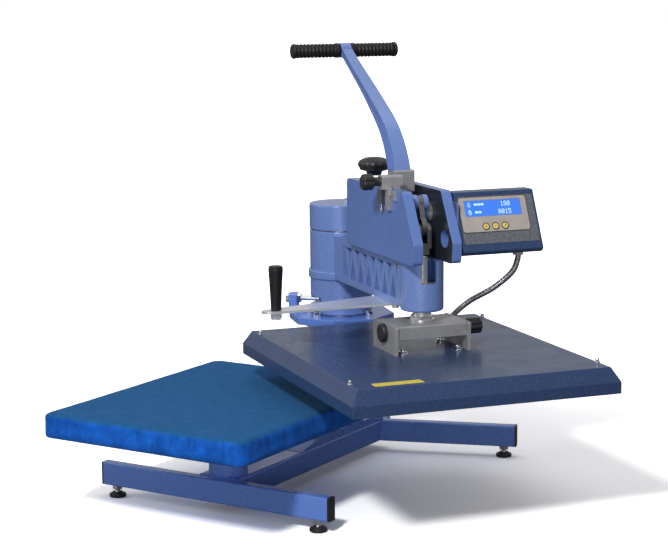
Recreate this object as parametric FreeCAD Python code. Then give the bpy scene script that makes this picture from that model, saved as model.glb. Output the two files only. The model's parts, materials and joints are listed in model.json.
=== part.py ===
import FreeCAD, Part
import math
import os

# Swing-away heat press with a hand lever.  Millimetres.
# Frame: origin at the centre of the work table's top face, +X to the operator's right,
# +Y to the back, +Z up.  The head parts are drawn with the head closed over the table,
# then turned about the swing column to the open position that the press rests in.

V = FreeCAD.Vector
X, Y, Z = V(1, 0, 0), V(0, 1, 0), V(0, 0, 1)

# ---- driving dimensions ----------------------------------------------------------
TABLE_X, TABLE_Y, TABLE_T = 400.0, 500.0, 41.0
FLOOR_Z = -192.0
COLUMN_Y = 374.0                 # swing axis behind the table centre
SWING_OPEN = 52.0                # degrees the head stands open
RUN = 0.05                       # radial running clearance of shafts in bushes

TUBE_H, TUBE_D = 40.0, 20.0      # cross tube and legs, 40 x 20
BEAM_W = 80.0                    # centre beam, 80 x 40
TUBE_Z = -171.5                  # underside of the tubes
TUBE_TOP = TUBE_Z + TUBE_H
WALL, BEAM_WALL = 2.5, 3.0
FRONT_TUBE_Y, FRONT_TUBE_HALF = -52.5, 228.0
BEAM_END_Y = 482.0
LEG_ANGLE, LEG_LENGTH, LEG_Y = 18.5, 254.0, 448.0
FOOT_R, FOOT_X, STUD_R = 14.5, 205.0, 5.0
LEG_FOOT_AT = 233.0              # along the leg from its root

FLANGE_TOP = 86.0
HUB_R, HUB_Z0, HUB_TOP = 57.0, 88.0, 241.0
SPINDLE_R, BUSH_R = 30.0, 36.0
COLLAR_Z0, COLLAR_TOP = 243.0, 289.0

ARM_Z0, ARM_Z1, ARM_HALF = 156.0, 235.0, 32.0
BOSS_R, BOSS_Z0 = 36.0, 152.0
CHEEK_OUT, CHEEK_T = 42.5, 17.0
CHEEK_TOP = 350.0

PIVOT_Y, PIVOT_Z = 32.0, 310.0   # lever pivot pin
CRANK_R, LINK_L = 25.5, 46.0     # toggle crank and link
STROKE = 38.5                    # travel of the heating head
OVER_CENTRE = 2.0                # degrees past the toggle's dead centre

RAM_R, ROD_R, RAM_TOP = 15.0, 9.0, 243.0
YOKE_X, YOKE_Y, YOKE_T = 67.0, 48.0, 5.0
YOKE_Z0, YOKE_TOP = 112.0, 134.0
TRUNNION_Z = 118.0
PLATEN_TOP, PLATEN_X, PLATEN_Y = 87.3, 454.0, 532.0
PLATEN_BEVEL, PLATEN_DROP = 13.0, 22.9
PLATE_Z0, PLATE_T = 45.0, 16.0


# ---- helpers ---------------------------------------------------------------------
def box(x0, x1, y0, y1, z0, z1):
    return Part.makeBox(x1 - x0, y1 - y0, z1 - z0, V(x0, y0, z0))


def cyl(r, p, axis, length):
    return Part.makeCylinder(r, length, V(*p), axis)


def cone(r0, r1, p, axis, length):
    return Part.makeCone(r0, r1, length, V(*p), axis)


def fuse(*shapes):
    out = shapes[0]
    for s in shapes[1:]:
        out = out.fuse(s)
    return out.removeSplitter()


def cut(shape, *tools):
    for t in tools:
        shape = shape.cut(t)
    return shape


def group(shapes):
    return Part.makeCompound(list(shapes))


def side_plate(points, x0, x1):
    """A plate drawn by its (y, z) outline, from x0 to x1."""
    wire = Part.makePolygon([V(x0, y, z) for y, z in points + points[:1]])
    return Part.Face(wire).extrude(V(x1 - x0, 0, 0))


def flat_plate(points, z0, z1):
    """A plate drawn by its (x, y) outline, from z0 to z1."""
    wire = Part.makePolygon([V(x, y, z0) for x, y in points + points[:1]])
    return Part.Face(wire).extrude(V(0, 0, z1 - z0))


def round_edges(shape, r, pick):
    edges = [e for e in shape.Edges if pick(e)]
    return shape.makeFillet(r, edges) if edges else shape


def along(e, axis):
    """True for a straight edge parallel to the axis."""
    return e.Curve.TypeId == "Part::GeomLine" and abs(e.tangentAt(e.FirstParameter).dot(axis)) > 0.999


def hexagon(across, p, axis, length):
    """A hexagonal prism: nut or bolt head."""
    r = across / math.sqrt(3)
    ring = [V(r * math.cos(math.radians(60 * k)), r * math.sin(math.radians(60 * k)), 0) for k in range(7)]
    prism = Part.Face(Part.makePolygon(ring)).extrude(V(0, 0, length))
    prism.Placement = FreeCAD.Placement(V(*p), FreeCAD.Rotation(Z, axis))
    return prism


def cap_screw(d, p, axis, grip, recess=True):
    """A socket head screw: head outward along axis from p, shank inward."""
    head = cyl(0.75 * d, p, axis, 0.9 * d)
    if recess:
        mouth = V(*p) + axis * (0.45 * d)
        head = head.cut(hexagon(0.8 * d, tuple(mouth), axis, d))
    shank = Part.makeCylinder(d / 2, grip, V(*p), axis * -1)
    return fuse(head, shank)


def tube(x0, x1, y0, y1, z0, z1, wall, axis, r=2.5):
    """A square-section tube with rounded outer corners, open at both ends."""
    outer = round_edges(box(x0, x1, y0, y1, z0, z1), r, lambda e: along(e, axis))
    dx, dy, dz = [0 if a else wall for a in (axis.x, axis.y, axis.z)]
    return outer.cut(box(x0 + dx, x1 - dx, y0 + dy, y1 - dy, z0 + dz, z1 - dz))


def turned(shape, angle=SWING_OPEN):
    """Turn a head part from closed to open about the swing column."""
    s = shape.copy()
    s.rotate(V(0, COLUMN_Y, 0), Z, angle)
    return s


# ---- toggle linkage, in the head's own (y, z) plane --------------------------------
DEAD = CRANK_R + LINK_L
RAM_PIN_LOW = PIVOT_Z - math.sqrt(DEAD ** 2 - PIVOT_Y ** 2)
RAM_PIN_Z = RAM_PIN_LOW + STROKE
DEAD_ANGLE = math.degrees(math.atan2(RAM_PIN_LOW - PIVOT_Z, -PIVOT_Y)) % 360
PIN_REACH = math.hypot(PIVOT_Y, PIVOT_Z - RAM_PIN_Z)
PIN_SPREAD = math.degrees(math.acos(
    (CRANK_R ** 2 + PIN_REACH ** 2 - LINK_L ** 2) / (2 * CRANK_R * PIN_REACH)))
CRANK_REST = math.degrees(math.atan2(RAM_PIN_Z - PIVOT_Z, -PIVOT_Y)) % 360 - PIN_SPREAD
LEVER_TRAVEL = DEAD_ANGLE - CRANK_REST + OVER_CENTRE


def crank_pin(turn):
    a = math.radians(CRANK_REST + turn)
    return PIVOT_Y + CRANK_R * math.cos(a), PIVOT_Z + CRANK_R * math.sin(a)


def link_angle(turn):
    """Direction of the link with its lower end kept on the ram's axis."""
    y, z = crank_pin(turn)
    return math.degrees(math.atan2(-math.sqrt(LINK_L ** 2 - y ** 2), -y)) % 360


LINK_REST = link_angle(0)
LINK_TURN = link_angle(LEVER_TRAVEL) - LINK_REST
RAM_TRAVEL = RAM_PIN_Z - (crank_pin(LEVER_TRAVEL)[1] - math.sqrt(LINK_L ** 2 - crank_pin(LEVER_TRAVEL)[0] ** 2))


def pin_in_link(share):
    """Where the ram's pin lies in the resting link's frame when every joint has moved
    the same share of its own travel."""
    cy, cz = crank_pin(share * LEVER_TRAVEL)
    py, pz = -cy, RAM_PIN_Z - share * RAM_TRAVEL - cz
    a = math.radians(-share * LINK_TURN)
    y0, z0 = crank_pin(0)
    return y0 + py * math.cos(a) - pz * math.sin(a), z0 + py * math.sin(a) + pz * math.cos(a)


# ---- base ------------------------------------------------------------------------
def leg_place(shape, side):
    """Put a leg drawn along +X at the beam's side, splayed back; side is +1 or -1."""
    s = shape.copy()
    s.rotate(V(0, 0, 0), Z, LEG_ANGLE)
    s.translate(V(BEAM_W / 2, LEG_Y, 0))
    return s if side > 0 else s.mirror(V(0, 0, 0), X)


def leg_foot(side):
    a = math.radians(LEG_ANGLE)
    x = BEAM_W / 2 + LEG_FOOT_AT * math.cos(a) - TUBE_D / 2 * math.sin(a)
    y = LEG_Y + LEG_FOOT_AT * math.sin(a) + TUBE_D / 2 * math.cos(a)
    return side * x, y


FEET = {
    "foot_front_left": (-FOOT_X, FRONT_TUBE_Y + TUBE_D / 2),
    "foot_front_right": (FOOT_X, FRONT_TUBE_Y + TUBE_D / 2),
    "foot_rear_left": leg_foot(-1),
    "foot_rear_right": leg_foot(1),
}
STUD_HOLE = STUD_R + RUN


def front_cross_tube():
    t = tube(-FRONT_TUBE_HALF, FRONT_TUBE_HALF, FRONT_TUBE_Y, FRONT_TUBE_Y + TUBE_D,
             TUBE_Z, TUBE_TOP, WALL, X)
    holes = [cyl(STUD_HOLE, (s * FOOT_X, FRONT_TUBE_Y + TUBE_D / 2, TUBE_Z - 1), Z, 10) for s in (-1, 1)]
    return cut(t, *holes)


def centre_beam():
    t = tube(-BEAM_W / 2, BEAM_W / 2, FRONT_TUBE_Y + TUBE_D, BEAM_END_Y, TUBE_Z, TUBE_TOP, BEAM_WALL, Y, 4.0)
    return cut(t, cyl(POST_R + RUN, (0, 0, TUBE_TOP - 10), Z, 20))


def rear_leg(side):
    t = tube(-12, LEG_LENGTH, 0, TUBE_D, TUBE_Z, TUBE_TOP, WALL, X)
    t = cut(t, cyl(STUD_HOLE, (LEG_FOOT_AT, TUBE_D / 2, TUBE_Z - 1), Z, 10))
    return leg_place(t, side).cut(box(-BEAM_W / 2, BEAM_W / 2, 300, 600, TUBE_Z - 1, TUBE_TOP + 1))


def tube_end_caps():
    """Plastic end plugs: a cover plate outside, a block inside the tube."""
    mid_z = TUBE_Z + TUBE_H / 2
    front_y = FRONT_TUBE_Y + TUBE_D / 2
    cover_t, plug_depth, slack = 3.0, 14.0, 0.1
    caps = []
    for s in (-1, 1):
        cover = box(0, cover_t, -TUBE_D / 2, TUBE_D / 2, -TUBE_H / 2, TUBE_H / 2)
        cover = round_edges(cover, 2.0, lambda e: along(e, X))
        inner_y, inner_z = TUBE_D / 2 - WALL - slack, TUBE_H / 2 - WALL - slack
        inner = box(-plug_depth, 0, -inner_y, inner_y, -inner_z, inner_z)
        plug = fuse(cover, inner)
        front = plug.copy() if s > 0 else plug.mirror(V(0, 0, 0), X)
        front.translate(V(s * FRONT_TUBE_HALF, front_y, mid_z))
        caps.append(front)
        rear = plug.copy()
        rear.translate(V(LEG_LENGTH, TUBE_D / 2, mid_z))
        caps.append(leg_place(rear, s))
    cover = box(-BEAM_W / 2, BEAM_W / 2, 0, cover_t, -TUBE_H / 2, TUBE_H / 2)
    cover = round_edges(cover, 3.0, lambda e: along(e, Y))
    inner_x, inner_z = BEAM_W / 2 - BEAM_WALL - slack, TUBE_H / 2 - BEAM_WALL - slack
    inner = box(-inner_x, inner_x, -plug_depth, 0, -inner_z, inner_z)
    beam_cap = fuse(cover, inner)
    beam_cap.translate(V(0, BEAM_END_Y, mid_z))
    return group(caps + [beam_cap])


def foot(name):
    x, y = FEET[name]
    pad = fuse(cyl(FOOT_R, (x, y, FLOOR_Z), Z, 6), cone(FOOT_R, 9, (x, y, FLOOR_Z + 6), Z, 3))
    stud = cyl(STUD_R, (x, y, FLOOR_Z + 9), Z, 42)
    return fuse(pad, stud)


def foot_lock_nuts():
    nuts = []
    for x, y in FEET.values():
        nut = hexagon(16, (x, y, TUBE_Z - 6), Z, 6)
        nuts.append(nut.cut(cyl(STUD_HOLE, (x, y, TUBE_Z - 7), Z, 8)))
    return nuts


# ---- table -----------------------------------------------------------------------
POST_R, SOCKET_R = 25.0, 33.0
SOCKET_TOP = TUBE_TOP + 48
LOCK_Z = TUBE_TOP + 30
BOARD_T = 12.0


def table_socket():
    s = cyl(SOCKET_R, (0, 0, TUBE_TOP), Z, SOCKET_TOP - TUBE_TOP)
    s = round_edges(s, 2.0, lambda e: e.BoundBox.ZMin > SOCKET_TOP - 0.1)
    boss = cyl(11, (-SOCKET_R - 8, 0, LOCK_Z), X, 20)
    s = fuse(s, boss)
    return cut(s, cyl(POST_R + RUN, (0, 0, TUBE_TOP - 1), Z, 80),
               cyl(5 + RUN, (-SOCKET_R - 10, 0, LOCK_Z), X, 30))


def table_lock_screw():
    head = hexagon(17, (-SOCKET_R - 22, 0, LOCK_Z), X, 8)
    head = head.common(cone(8, 14, (-SOCKET_R - 22, 0, LOCK_Z), X, 8))
    washer = cyl(10, (-SOCKET_R - 14, 0, LOCK_Z), X, 2)
    shank = cyl(5, (-SOCKET_R - 12, 0, LOCK_Z), X, SOCKET_R + 12 - POST_R - RUN - 0.1)
    return fuse(head, washer, shank)


def table_plate():
    """Steel carrier plate under the pad, with its flange and post."""
    p = box(-TABLE_X / 2 + 14, TABLE_X / 2 - 14, -TABLE_Y / 2 + 14, TABLE_Y / 2 - 14,
            -TABLE_T + 3, -TABLE_T + 3 + BOARD_T)
    p = round_edges(p, 12.0, lambda e: along(e, Z))
    flange = cyl(60, (0, 0, -TABLE_T - 6), Z, 9)
    post = cyl(POST_R, (0, 0, TUBE_TOP - 3), Z, -TABLE_T - 3 - TUBE_TOP)
    return fuse(p, flange, post).cut(cyl(POST_R - 4, (0, 0, TUBE_TOP - 4), Z, -TABLE_T - 16 - TUBE_TOP))


def table_pad():
    """Silicone foam pad on the carrier plate."""
    z0 = -TABLE_T + 3 + BOARD_T
    p = box(-TABLE_X / 2 + 14, TABLE_X / 2 - 14, -TABLE_Y / 2 + 14, TABLE_Y / 2 - 14, z0, -5.0)
    return round_edges(p, 12.0, lambda e: along(e, Z))


def table_cover():
    """Cloth cover drawn tight over the pad and turned under the plate's rim."""
    hx, hy = TABLE_X / 2, TABLE_Y / 2
    outer = round_edges(box(-hx, hx, -hy, hy, -TABLE_T, 0), 20.0, lambda e: along(e, Z))
    outer = round_edges(outer, 7.0, lambda e: e.BoundBox.ZMin > -0.1)
    outer = round_edges(outer, 4.0, lambda e: e.BoundBox.ZMax < -TABLE_T + 0.1)
    hollow = round_edges(box(-hx + 14, hx - 14, -hy + 14, hy - 14, -TABLE_T + 3, -5.0), 12.0,
                         lambda e: along(e, Z))
    mouth = round_edges(box(-hx + 40, hx - 40, -hy + 40, hy - 40, -TABLE_T - 1, -TABLE_T + 3), 12.0,
                        lambda e: along(e, Z))
    return cut(outer, hollow, mouth)


# ---- swing column ----------------------------------------------------------------
PLINTH_Z = TUBE_TOP + 12
FLANGE_T, SHIM_Z = 13.5, 66.0
FLANGE_PITCH_R = 67.0
FLANGE_SCREW_ANGLES = (-10, 80, 170, 260)
CAP_SCREW_ANGLE, CAP_SCREW_RS = 31, (12, 27, 42)
CAP_SCREW_GRIP = 24
STOP_ANGLE, STOP_Z, STOP_R = 201.0, 110.0, 5.0
STOP_TAB = (82.0, 97.0)           # the tab's inner and outer radius
SWING_RANGE = 90.0


def pedestal_plate():
    """Stiffening plate along the beam's top, ramped at the front."""
    half = BEAM_W / 2
    outline = [(170, TUBE_TOP), (224, PLINTH_Z), (448, PLINTH_Z), (462, TUBE_TOP)]
    return side_plate(outline, -half + 1, half - 1)


def pedestal():
    c = COLUMN_Y
    pipe = cyl(38, (0, c, PLINTH_Z), Z, 40 - PLINTH_Z)
    flare = cone(38, 62, (0, c, 40), Z, SHIM_Z - 40)
    gussets = []
    for s, foot_end in ((-1, 118), (1, 70)):
        outline = [(c + s * 30, PLINTH_Z), (c + s * foot_end, PLINTH_Z), (c + s * foot_end, PLINTH_Z + 14),
                   (c + s * 36, 30), (c + s * 30, 30)]
        gussets.append(side_plate(outline, -7, 7))
    ring = cyl(39.9, (0, c, PLINTH_Z), Z, 10)
    body = fuse(pipe, flare, ring, *gussets)
    return body.cut(cyl(SPINDLE_R, (0, c, 20), Z, 60))


def flange_holes():
    return [cyl(5, at_column(FLANGE_PITCH_R, a, 60), Z, 40) for a in FLANGE_SCREW_ANGLES]


def shim_plate():
    return cut(cyl(74, (0, COLUMN_Y, SHIM_Z), Z, FLANGE_TOP - FLANGE_T - SHIM_Z),
               cyl(SPINDLE_R, (0, COLUMN_Y, 50), Z, 60), *flange_holes())


def swing_flange():
    ring = []
    for k in range(8):
        a = math.radians(22.5 + 45 * k)
        ring.append((98 * math.cos(a), COLUMN_Y + 98 * math.sin(a)))
    f = flat_plate(ring, FLANGE_TOP - FLANGE_T, FLANGE_TOP)
    f = round_edges(f, 1.5, lambda e: e.BoundBox.ZMin > FLANGE_TOP - 0.1)
    return cut(f, cyl(SPINDLE_R, (0, COLUMN_Y, 50), Z, 60), *flange_holes())


def at_column(r, angle, z):
    a = math.radians(angle)
    return r * math.cos(a), COLUMN_Y + r * math.sin(a), z


def flange_screws():
    grip = FLANGE_TOP - SHIM_Z
    return [cap_screw(10, at_column(FLANGE_PITCH_R, a, FLANGE_TOP), Z, grip) for a in FLANGE_SCREW_ANGLES]


def spindle():
    c = COLUMN_Y
    s = cyl(SPINDLE_R, (0, c, 22), Z, 262 - 22)
    return round_edges(s, 2.0, lambda e: e.BoundBox.ZMin > 261)


def thrust_washer(z0, z1, r):
    return cut(cyl(r, (0, COLUMN_Y, z0), Z, z1 - z0), cyl(SPINDLE_R, (0, COLUMN_Y, z0 - 1), Z, z1 - z0 + 2))


def column_cap():
    """Clamp collar on the spindle's top."""
    c = COLUMN_Y
    body = cyl(HUB_R + 0.5, (0, c, COLLAR_Z0), Z, COLLAR_TOP - COLLAR_Z0)
    body = round_edges(body, 3.0, lambda e: e.BoundBox.ZMin > COLLAR_TOP - 0.1)
    body = round_edges(body, 1.0, lambda e: e.BoundBox.ZMax < COLLAR_Z0 + 0.1)
    hole_z = COLLAR_TOP - CAP_SCREW_GRIP
    holes = [cyl(4, at_column(r, CAP_SCREW_ANGLE, hole_z), Z, 60) for r in CAP_SCREW_RS]
    return cut(body, cyl(SPINDLE_R, (0, c, 200), Z, 62), *holes)


def column_cap_screws():
    """Three screws in a row that draw the collar onto the spindle."""
    return [cap_screw(8, at_column(r, CAP_SCREW_ANGLE, COLLAR_TOP), Z, CAP_SCREW_GRIP) for r in CAP_SCREW_RS]


def stop_bracket():
    """Upright tab on the flange that carries the swing stop screw."""
    tab = box(STOP_TAB[0], STOP_TAB[1], -13, 13, FLANGE_TOP, 119)
    tab = round_edges(tab, 2.0, lambda e: along(e, X))
    toe = box(66, STOP_TAB[0], -13, 13, FLANGE_TOP, FLANGE_TOP + 6)
    b = fuse(tab, toe)
    b = b.cut(cyl(STOP_R, (60, 0, STOP_Z), X, 50))
    b.rotate(V(0, 0, 0), Z, STOP_ANGLE)
    b.translate(V(0, COLUMN_Y, 0))
    return b


def swing_stop_screw():
    """Radial screw whose tip runs in the hub's arc slot and ends the swing."""
    inner, outer = STOP_TAB
    tip, nut_t = 41.5, 6.5
    s = fuse(cyl(STOP_R, (tip, 0, STOP_Z), X, outer - tip + 1), hexagon(16, (outer, 0, STOP_Z), X, 7),
             hexagon(16, (inner - nut_t, 0, STOP_Z), X, nut_t))
    s.rotate(V(0, 0, 0), Z, STOP_ANGLE)
    s.translate(V(0, COLUMN_Y, 0))
    return s


# ---- head: hub, arm and cheeks -----------------------------------------------------
def stop_slot():
    """Arc slot in the closed hub, as long as the swing plus the screw's own width."""
    margin = math.degrees(math.asin((STOP_R + 0.8) / 40.5))
    first = STOP_ANGLE - SWING_RANGE - margin
    sweep = SWING_RANGE + 2 * margin
    ring = Part.makeCylinder(HUB_R + 5, 18, V(0, COLUMN_Y, STOP_Z - 9), Z, sweep)
    ring = ring.cut(cyl(40, (0, COLUMN_Y, STOP_Z - 10), Z, 20))
    ring.rotate(V(0, COLUMN_Y, 0), Z, first)
    return ring


ARM_FLANGE_T = 12.0
SHOULDER_Y = 34.0                # back of the solid part behind the boss
SIDE_SCREW_D, SIDE_SCREW_YZ, SIDE_SCREW_GRIP = 5.0, (27.0, 223.0), 10.0


def arm_web():
    """Side ribs of the arm: a zigzag truss between the lower and upper flange."""
    ribs = []
    step, half, t = 18.5, ARM_HALF - 2, 5.5
    low, high = ARM_Z0 + ARM_FLANGE_T, ARM_Z1 - ARM_FLANGE_T
    for k in range(13):
        a, b = SHOULDER_Y + step * k, SHOULDER_Y + step * (k + 1)
        za, zb = (low, high) if k % 2 == 0 else (high, low)
        ribs.append(side_plate([(a - t, za), (a + t, za), (b + t, zb), (b - t, zb)], -half, half))
    return ribs


def arm_casting():
    c = COLUMN_Y
    hub = cyl(HUB_R, (0, c, HUB_Z0), Z, HUB_TOP - HUB_Z0)
    hub = round_edges(hub, 2.0, lambda e: e.BoundBox.ZMin > HUB_TOP - 0.1 or e.BoundBox.ZMax < HUB_Z0 + 0.1)
    bead = cyl(HUB_R + 3, (0, c, 152), Z, 16)
    bead = round_edges(bead, 2.9, lambda e: e.Curve.TypeId == "Part::GeomCircle")
    lower = box(-ARM_HALF, ARM_HALF, 10, c - 20, ARM_Z0, ARM_Z0 + ARM_FLANGE_T)
    upper = box(-ARM_HALF, ARM_HALF, 30, c - 20, ARM_Z1 - ARM_FLANGE_T, ARM_Z1)
    web = box(-11, 11, 20, c - 20, ARM_Z0 + 5, ARM_Z1 - 5)
    heel = box(-ARM_HALF, ARM_HALF, c - 92, c - 20, ARM_Z0, ARM_Z1)
    boss = cyl(BOSS_R, (0, 0, BOSS_Z0), Z, ARM_Z1 - BOSS_Z0)
    boss = round_edges(boss, 4.0, lambda e: e.BoundBox.ZMax < BOSS_Z0 + 0.1)
    shoulder = box(-ARM_HALF, ARM_HALF, 18, SHOULDER_Y, ARM_Z0, ARM_Z1)
    body = fuse(hub, bead, lower, upper, web, heel, boss, shoulder, *arm_web())
    bore = cyl(BUSH_R, (0, c, HUB_Z0 - 1), Z, HUB_TOP - HUB_Z0 + 2)
    ram_bore = fuse(cyl(22, (0, 0, BOSS_Z0 - 1), Z, 52), cyl(27, (0, 0, 199), Z, 40))
    notch = box(-15, 15, -40, 0, 199, ARM_Z1 + 1)
    screw_hole = cyl(SIDE_SCREW_D / 2, (-ARM_HALF, *SIDE_SCREW_YZ), X, SIDE_SCREW_GRIP)
    return cut(body, bore, ram_bore, notch, stop_slot(), screw_hole)


def hub_bush(z0, z1):
    c = COLUMN_Y
    return cut(cyl(BUSH_R, (0, c, z0), Z, z1 - z0), cyl(SPINDLE_R + RUN, (0, c, z0 - 1), Z, z1 - z0 + 2))


CHEEK_SIDE = [(232, ARM_Z1), (232, CHEEK_TOP), (-18, CHEEK_TOP), (-65, 269), (-63, ARM_Z1)]
CHEEK_IN = CHEEK_OUT - CHEEK_T
TIE_SCREWS = [(196, 343), (60, 244), (150, 244)]
TIE_D, TIE_BLIND = 8.0, 10.0     # tie screws, and their depth in the left cheek


def cheek(side):
    """Thick side plate; side is -1 for the left one."""
    x0, x1 = sorted((side * CHEEK_IN, side * CHEEK_OUT))
    p = side_plate(CHEEK_SIDE, x0, x1)
    p = round_edges(p, 8.0, lambda e: along(e, X))
    if side < 0:
        return cut(p, *[cyl(TIE_D / 2, (x1 - TIE_BLIND, y, z), X, TIE_BLIND + 1) for y, z in TIE_SCREWS])
    holes = [cyl(TIE_D / 2, (x0 - 1, y, z), X, CHEEK_T + 2) for y, z in TIE_SCREWS]
    return cut(p, cyl(15, (x0 - 1, -34, 273), X, CHEEK_T + 2), *holes)


def head_bridge():
    """Cross block between the cheeks that holds the pressure screw."""
    b = box(-CHEEK_IN, CHEEK_IN, 190, 228, 334, 349)
    y, z = TIE_SCREWS[0]
    return cut(b, cyl(SCREW_R + RUN, (0, SCREW_Y, 330), Z, 30),
               cyl(TIE_D / 2, (-CHEEK_IN - 1, y, z), X, 2 * CHEEK_IN + 2))


def spacer_blocks():
    """Distance pieces that tie the cheeks to the arm's upper flange."""
    out = []
    for y, z in TIE_SCREWS[1:]:
        b = box(-CHEEK_IN, CHEEK_IN, y - 12, y + 12, ARM_Z1, z + 9)
        out.append(b.cut(cyl(TIE_D / 2, (-CHEEK_IN - 1, y, z), X, 2 * CHEEK_IN + 2)))
    return out


def tie_screws():
    """Long screws from the right cheek through the cross blocks into the left cheek."""
    grip = CHEEK_T + 2 * CHEEK_IN + TIE_BLIND
    return [cap_screw(TIE_D, (CHEEK_OUT, y, z), X, grip) for y, z in TIE_SCREWS]


def arm_side_screw():
    return cap_screw(SIDE_SCREW_D, (-ARM_HALF, *SIDE_SCREW_YZ), X * -1, SIDE_SCREW_GRIP)


# ---- pressure adjustment -----------------------------------------------------------
SCREW_Y, SCREW_R = 209.0, 7.0    # pressure screw
KNOB_R, KNOB_Z, KNOB_T = 29.0, 360.0, 26.0


def pressure_carriage():
    """Slide between the cheeks; it carries the lever's pivot pin and the screw's nut."""
    t0, t1 = 19.4, 25.3
    plates = []
    for s in (-1, 1):
        x0, x1 = sorted((s * t0, s * t1))
        bar = box(x0, x1, PIVOT_Y, 222, PIVOT_Z - 17, PIVOT_Z + 15)
        eye = cyl(18, (x0, PIVOT_Y, PIVOT_Z), X, t1 - t0)
        plates.append(fuse(bar, eye).cut(cyl(9, (x0 - 1, PIVOT_Y, PIVOT_Z), X, 8)))
    nut = box(-t0 - 0.5, t0 + 0.5, 196, 222, PIVOT_Z - 17, PIVOT_Z + 12)
    body = fuse(plates[0], plates[1], nut)
    return body.cut(cyl(SCREW_R + RUN, (0, SCREW_Y, 280), Z, 60))


def lever_pivot_pin():
    return cyl(9, (-25.2, PIVOT_Y, PIVOT_Z), X, 50.4)


def pressure_knob():
    """Hand knob with its screw, free to turn in the bridge."""
    knob = cyl(KNOB_R, (0, SCREW_Y, KNOB_Z), Z, KNOB_T)
    knob = round_edges(knob, 9.0, lambda e: e.Curve.TypeId == "Part::GeomCircle")
    notch_r, count = 5.0, 10
    lobes = []
    for k in range(count):
        a = 2 * math.pi * k / count
        reach = KNOB_R + notch_r - 1.5
        lobes.append(cyl(notch_r, (reach * math.cos(a), SCREW_Y + reach * math.sin(a), KNOB_Z - 5), Z, 40))
    neck = cone(12, 17, (0, SCREW_Y, 349.3), Z, 13)
    return fuse(cut(knob, *lobes), neck)


def pressure_screw():
    shank = cyl(SCREW_R, (0, SCREW_Y, 296), Z, 53.3)
    collar = cyl(12, (0, SCREW_Y, 329.4), Z, 4.4)
    return fuse(shank, collar)


# ---- lever and toggle --------------------------------------------------------------
GRIP_Y, GRIP_Z = 350.0, 566.0
GRIP_R, GRIP_IN, GRIP_OUT, BAR_R = 13.2, 10.5, 100.0, 8.0
LEVER_FRONT = [(79, 374), (100, 416), (124, 443.5), (176, 478.5), (231, 510), (336, 569)]
LEVER_DEPTH = [32, 30, 27, 20, 15, 12]
LEVER_HALF, LEVER_TIP_HALF = 15.0, 9.5


def lever_outline(inset=0.0):
    """Curved side outline of the hand lever, closed at the root and at the grip."""
    front, back = [], []
    for k, (y, z) in enumerate(LEVER_FRONT):
        a = LEVER_FRONT[max(k - 1, 0)]
        b = LEVER_FRONT[min(k + 1, len(LEVER_FRONT) - 1)]
        run, rise = b[0] - a[0], b[1] - a[1]
        size = math.hypot(run, rise)
        ny, nz = rise / size, -run / size
        edge = min(inset, 0.3 * LEVER_DEPTH[k])
        front.append(V(0, y + ny * edge, z + nz * edge))
        back.append(V(0, y + ny * (LEVER_DEPTH[k] - edge), z + nz * (LEVER_DEPTH[k] - edge)))
    c1, c2 = Part.BSplineCurve(), Part.BSplineCurve()
    c1.interpolate(front)
    c2.interpolate(back)
    return Part.Face(Part.Wire([
        c1.toShape(), Part.makeLine(front[-1], back[-1]), c2.toShape(), Part.makeLine(back[0], front[0])]))


def lever_arm():
    """Cast lever: I-section blade that narrows upward, pivot hub and the forked crank."""
    slab = lever_outline().extrude(V(2 * LEVER_HALF, 0, 0)).translated(V(-LEVER_HALF, 0, 0))
    low, high = LEVER_FRONT[0][1] - 34, LEVER_FRONT[-1][1] + 1
    wedge = Part.makePolygon([V(-LEVER_HALF, 0, low), V(LEVER_HALF, 0, low), V(LEVER_TIP_HALF, 0, high),
                              V(-LEVER_TIP_HALF, 0, high), V(-LEVER_HALF, 0, low)])
    slab = slab.common(Part.Face(wedge).extrude(V(0, GRIP_Y + 20, 0)))
    flange_t, web_half = 5.0, 4.0
    pocket = lever_outline(flange_t).extrude(V(LEVER_HALF, 0, 0))
    blade = cut(slab, pocket.translated(V(web_half, 0, 0)),
                pocket.translated(V(-web_half - LEVER_HALF, 0, 0)))
    root = side_plate([(79, 376), (111, 366), (60, 296), (38, 292), (14, 318), (32, 328), (73, 337)], -13, 13)
    hub = cyl(18, (-19, PIVOT_Y, PIVOT_Z), X, 38)
    cy, cz = crank_pin(0)
    crank = cyl(13, (-13, cy, cz), X, 26)
    eye = cyl(GRIP_R - 0.2, (-LEVER_TIP_HALF, GRIP_Y, GRIP_Z), X, 2 * LEVER_TIP_HALF)
    body = fuse(blade, root, hub, crank, eye)
    slot = fuse(cyl(17, (-4.8, cy, cz), X, 9.6), box(-4.8, 4.8, -30, cy + 9, 262, cz + 17))
    bores = [cyl(9 + RUN, (-30, PIVOT_Y, PIVOT_Z), X, 60), cyl(6, (-30, cy, cz), X, 60),
             cyl(BAR_R, (-30, GRIP_Y, GRIP_Z), X, 60)]
    return cut(body, slot, *bores)


def lever_root_block():
    """Machined block on the front of the lever's root."""
    b = box(-17.9, 17.9, 72, 84, 339, 376)
    b = round_edges(b, 3.0, lambda e: along(e, X) and e.BoundBox.YMax < 73)
    cheeks = [box(*sorted((s * 13.05, s * 17.9)), 80, 104, 339, 372) for s in (-1, 1)]
    b = fuse(b, *cheeks)
    return b.cut(LEVER_BODY)


def crank_pin_shaft():
    cy, cz = crank_pin(0)
    return cyl(6, (-13, cy, cz), X, 26)


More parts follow.
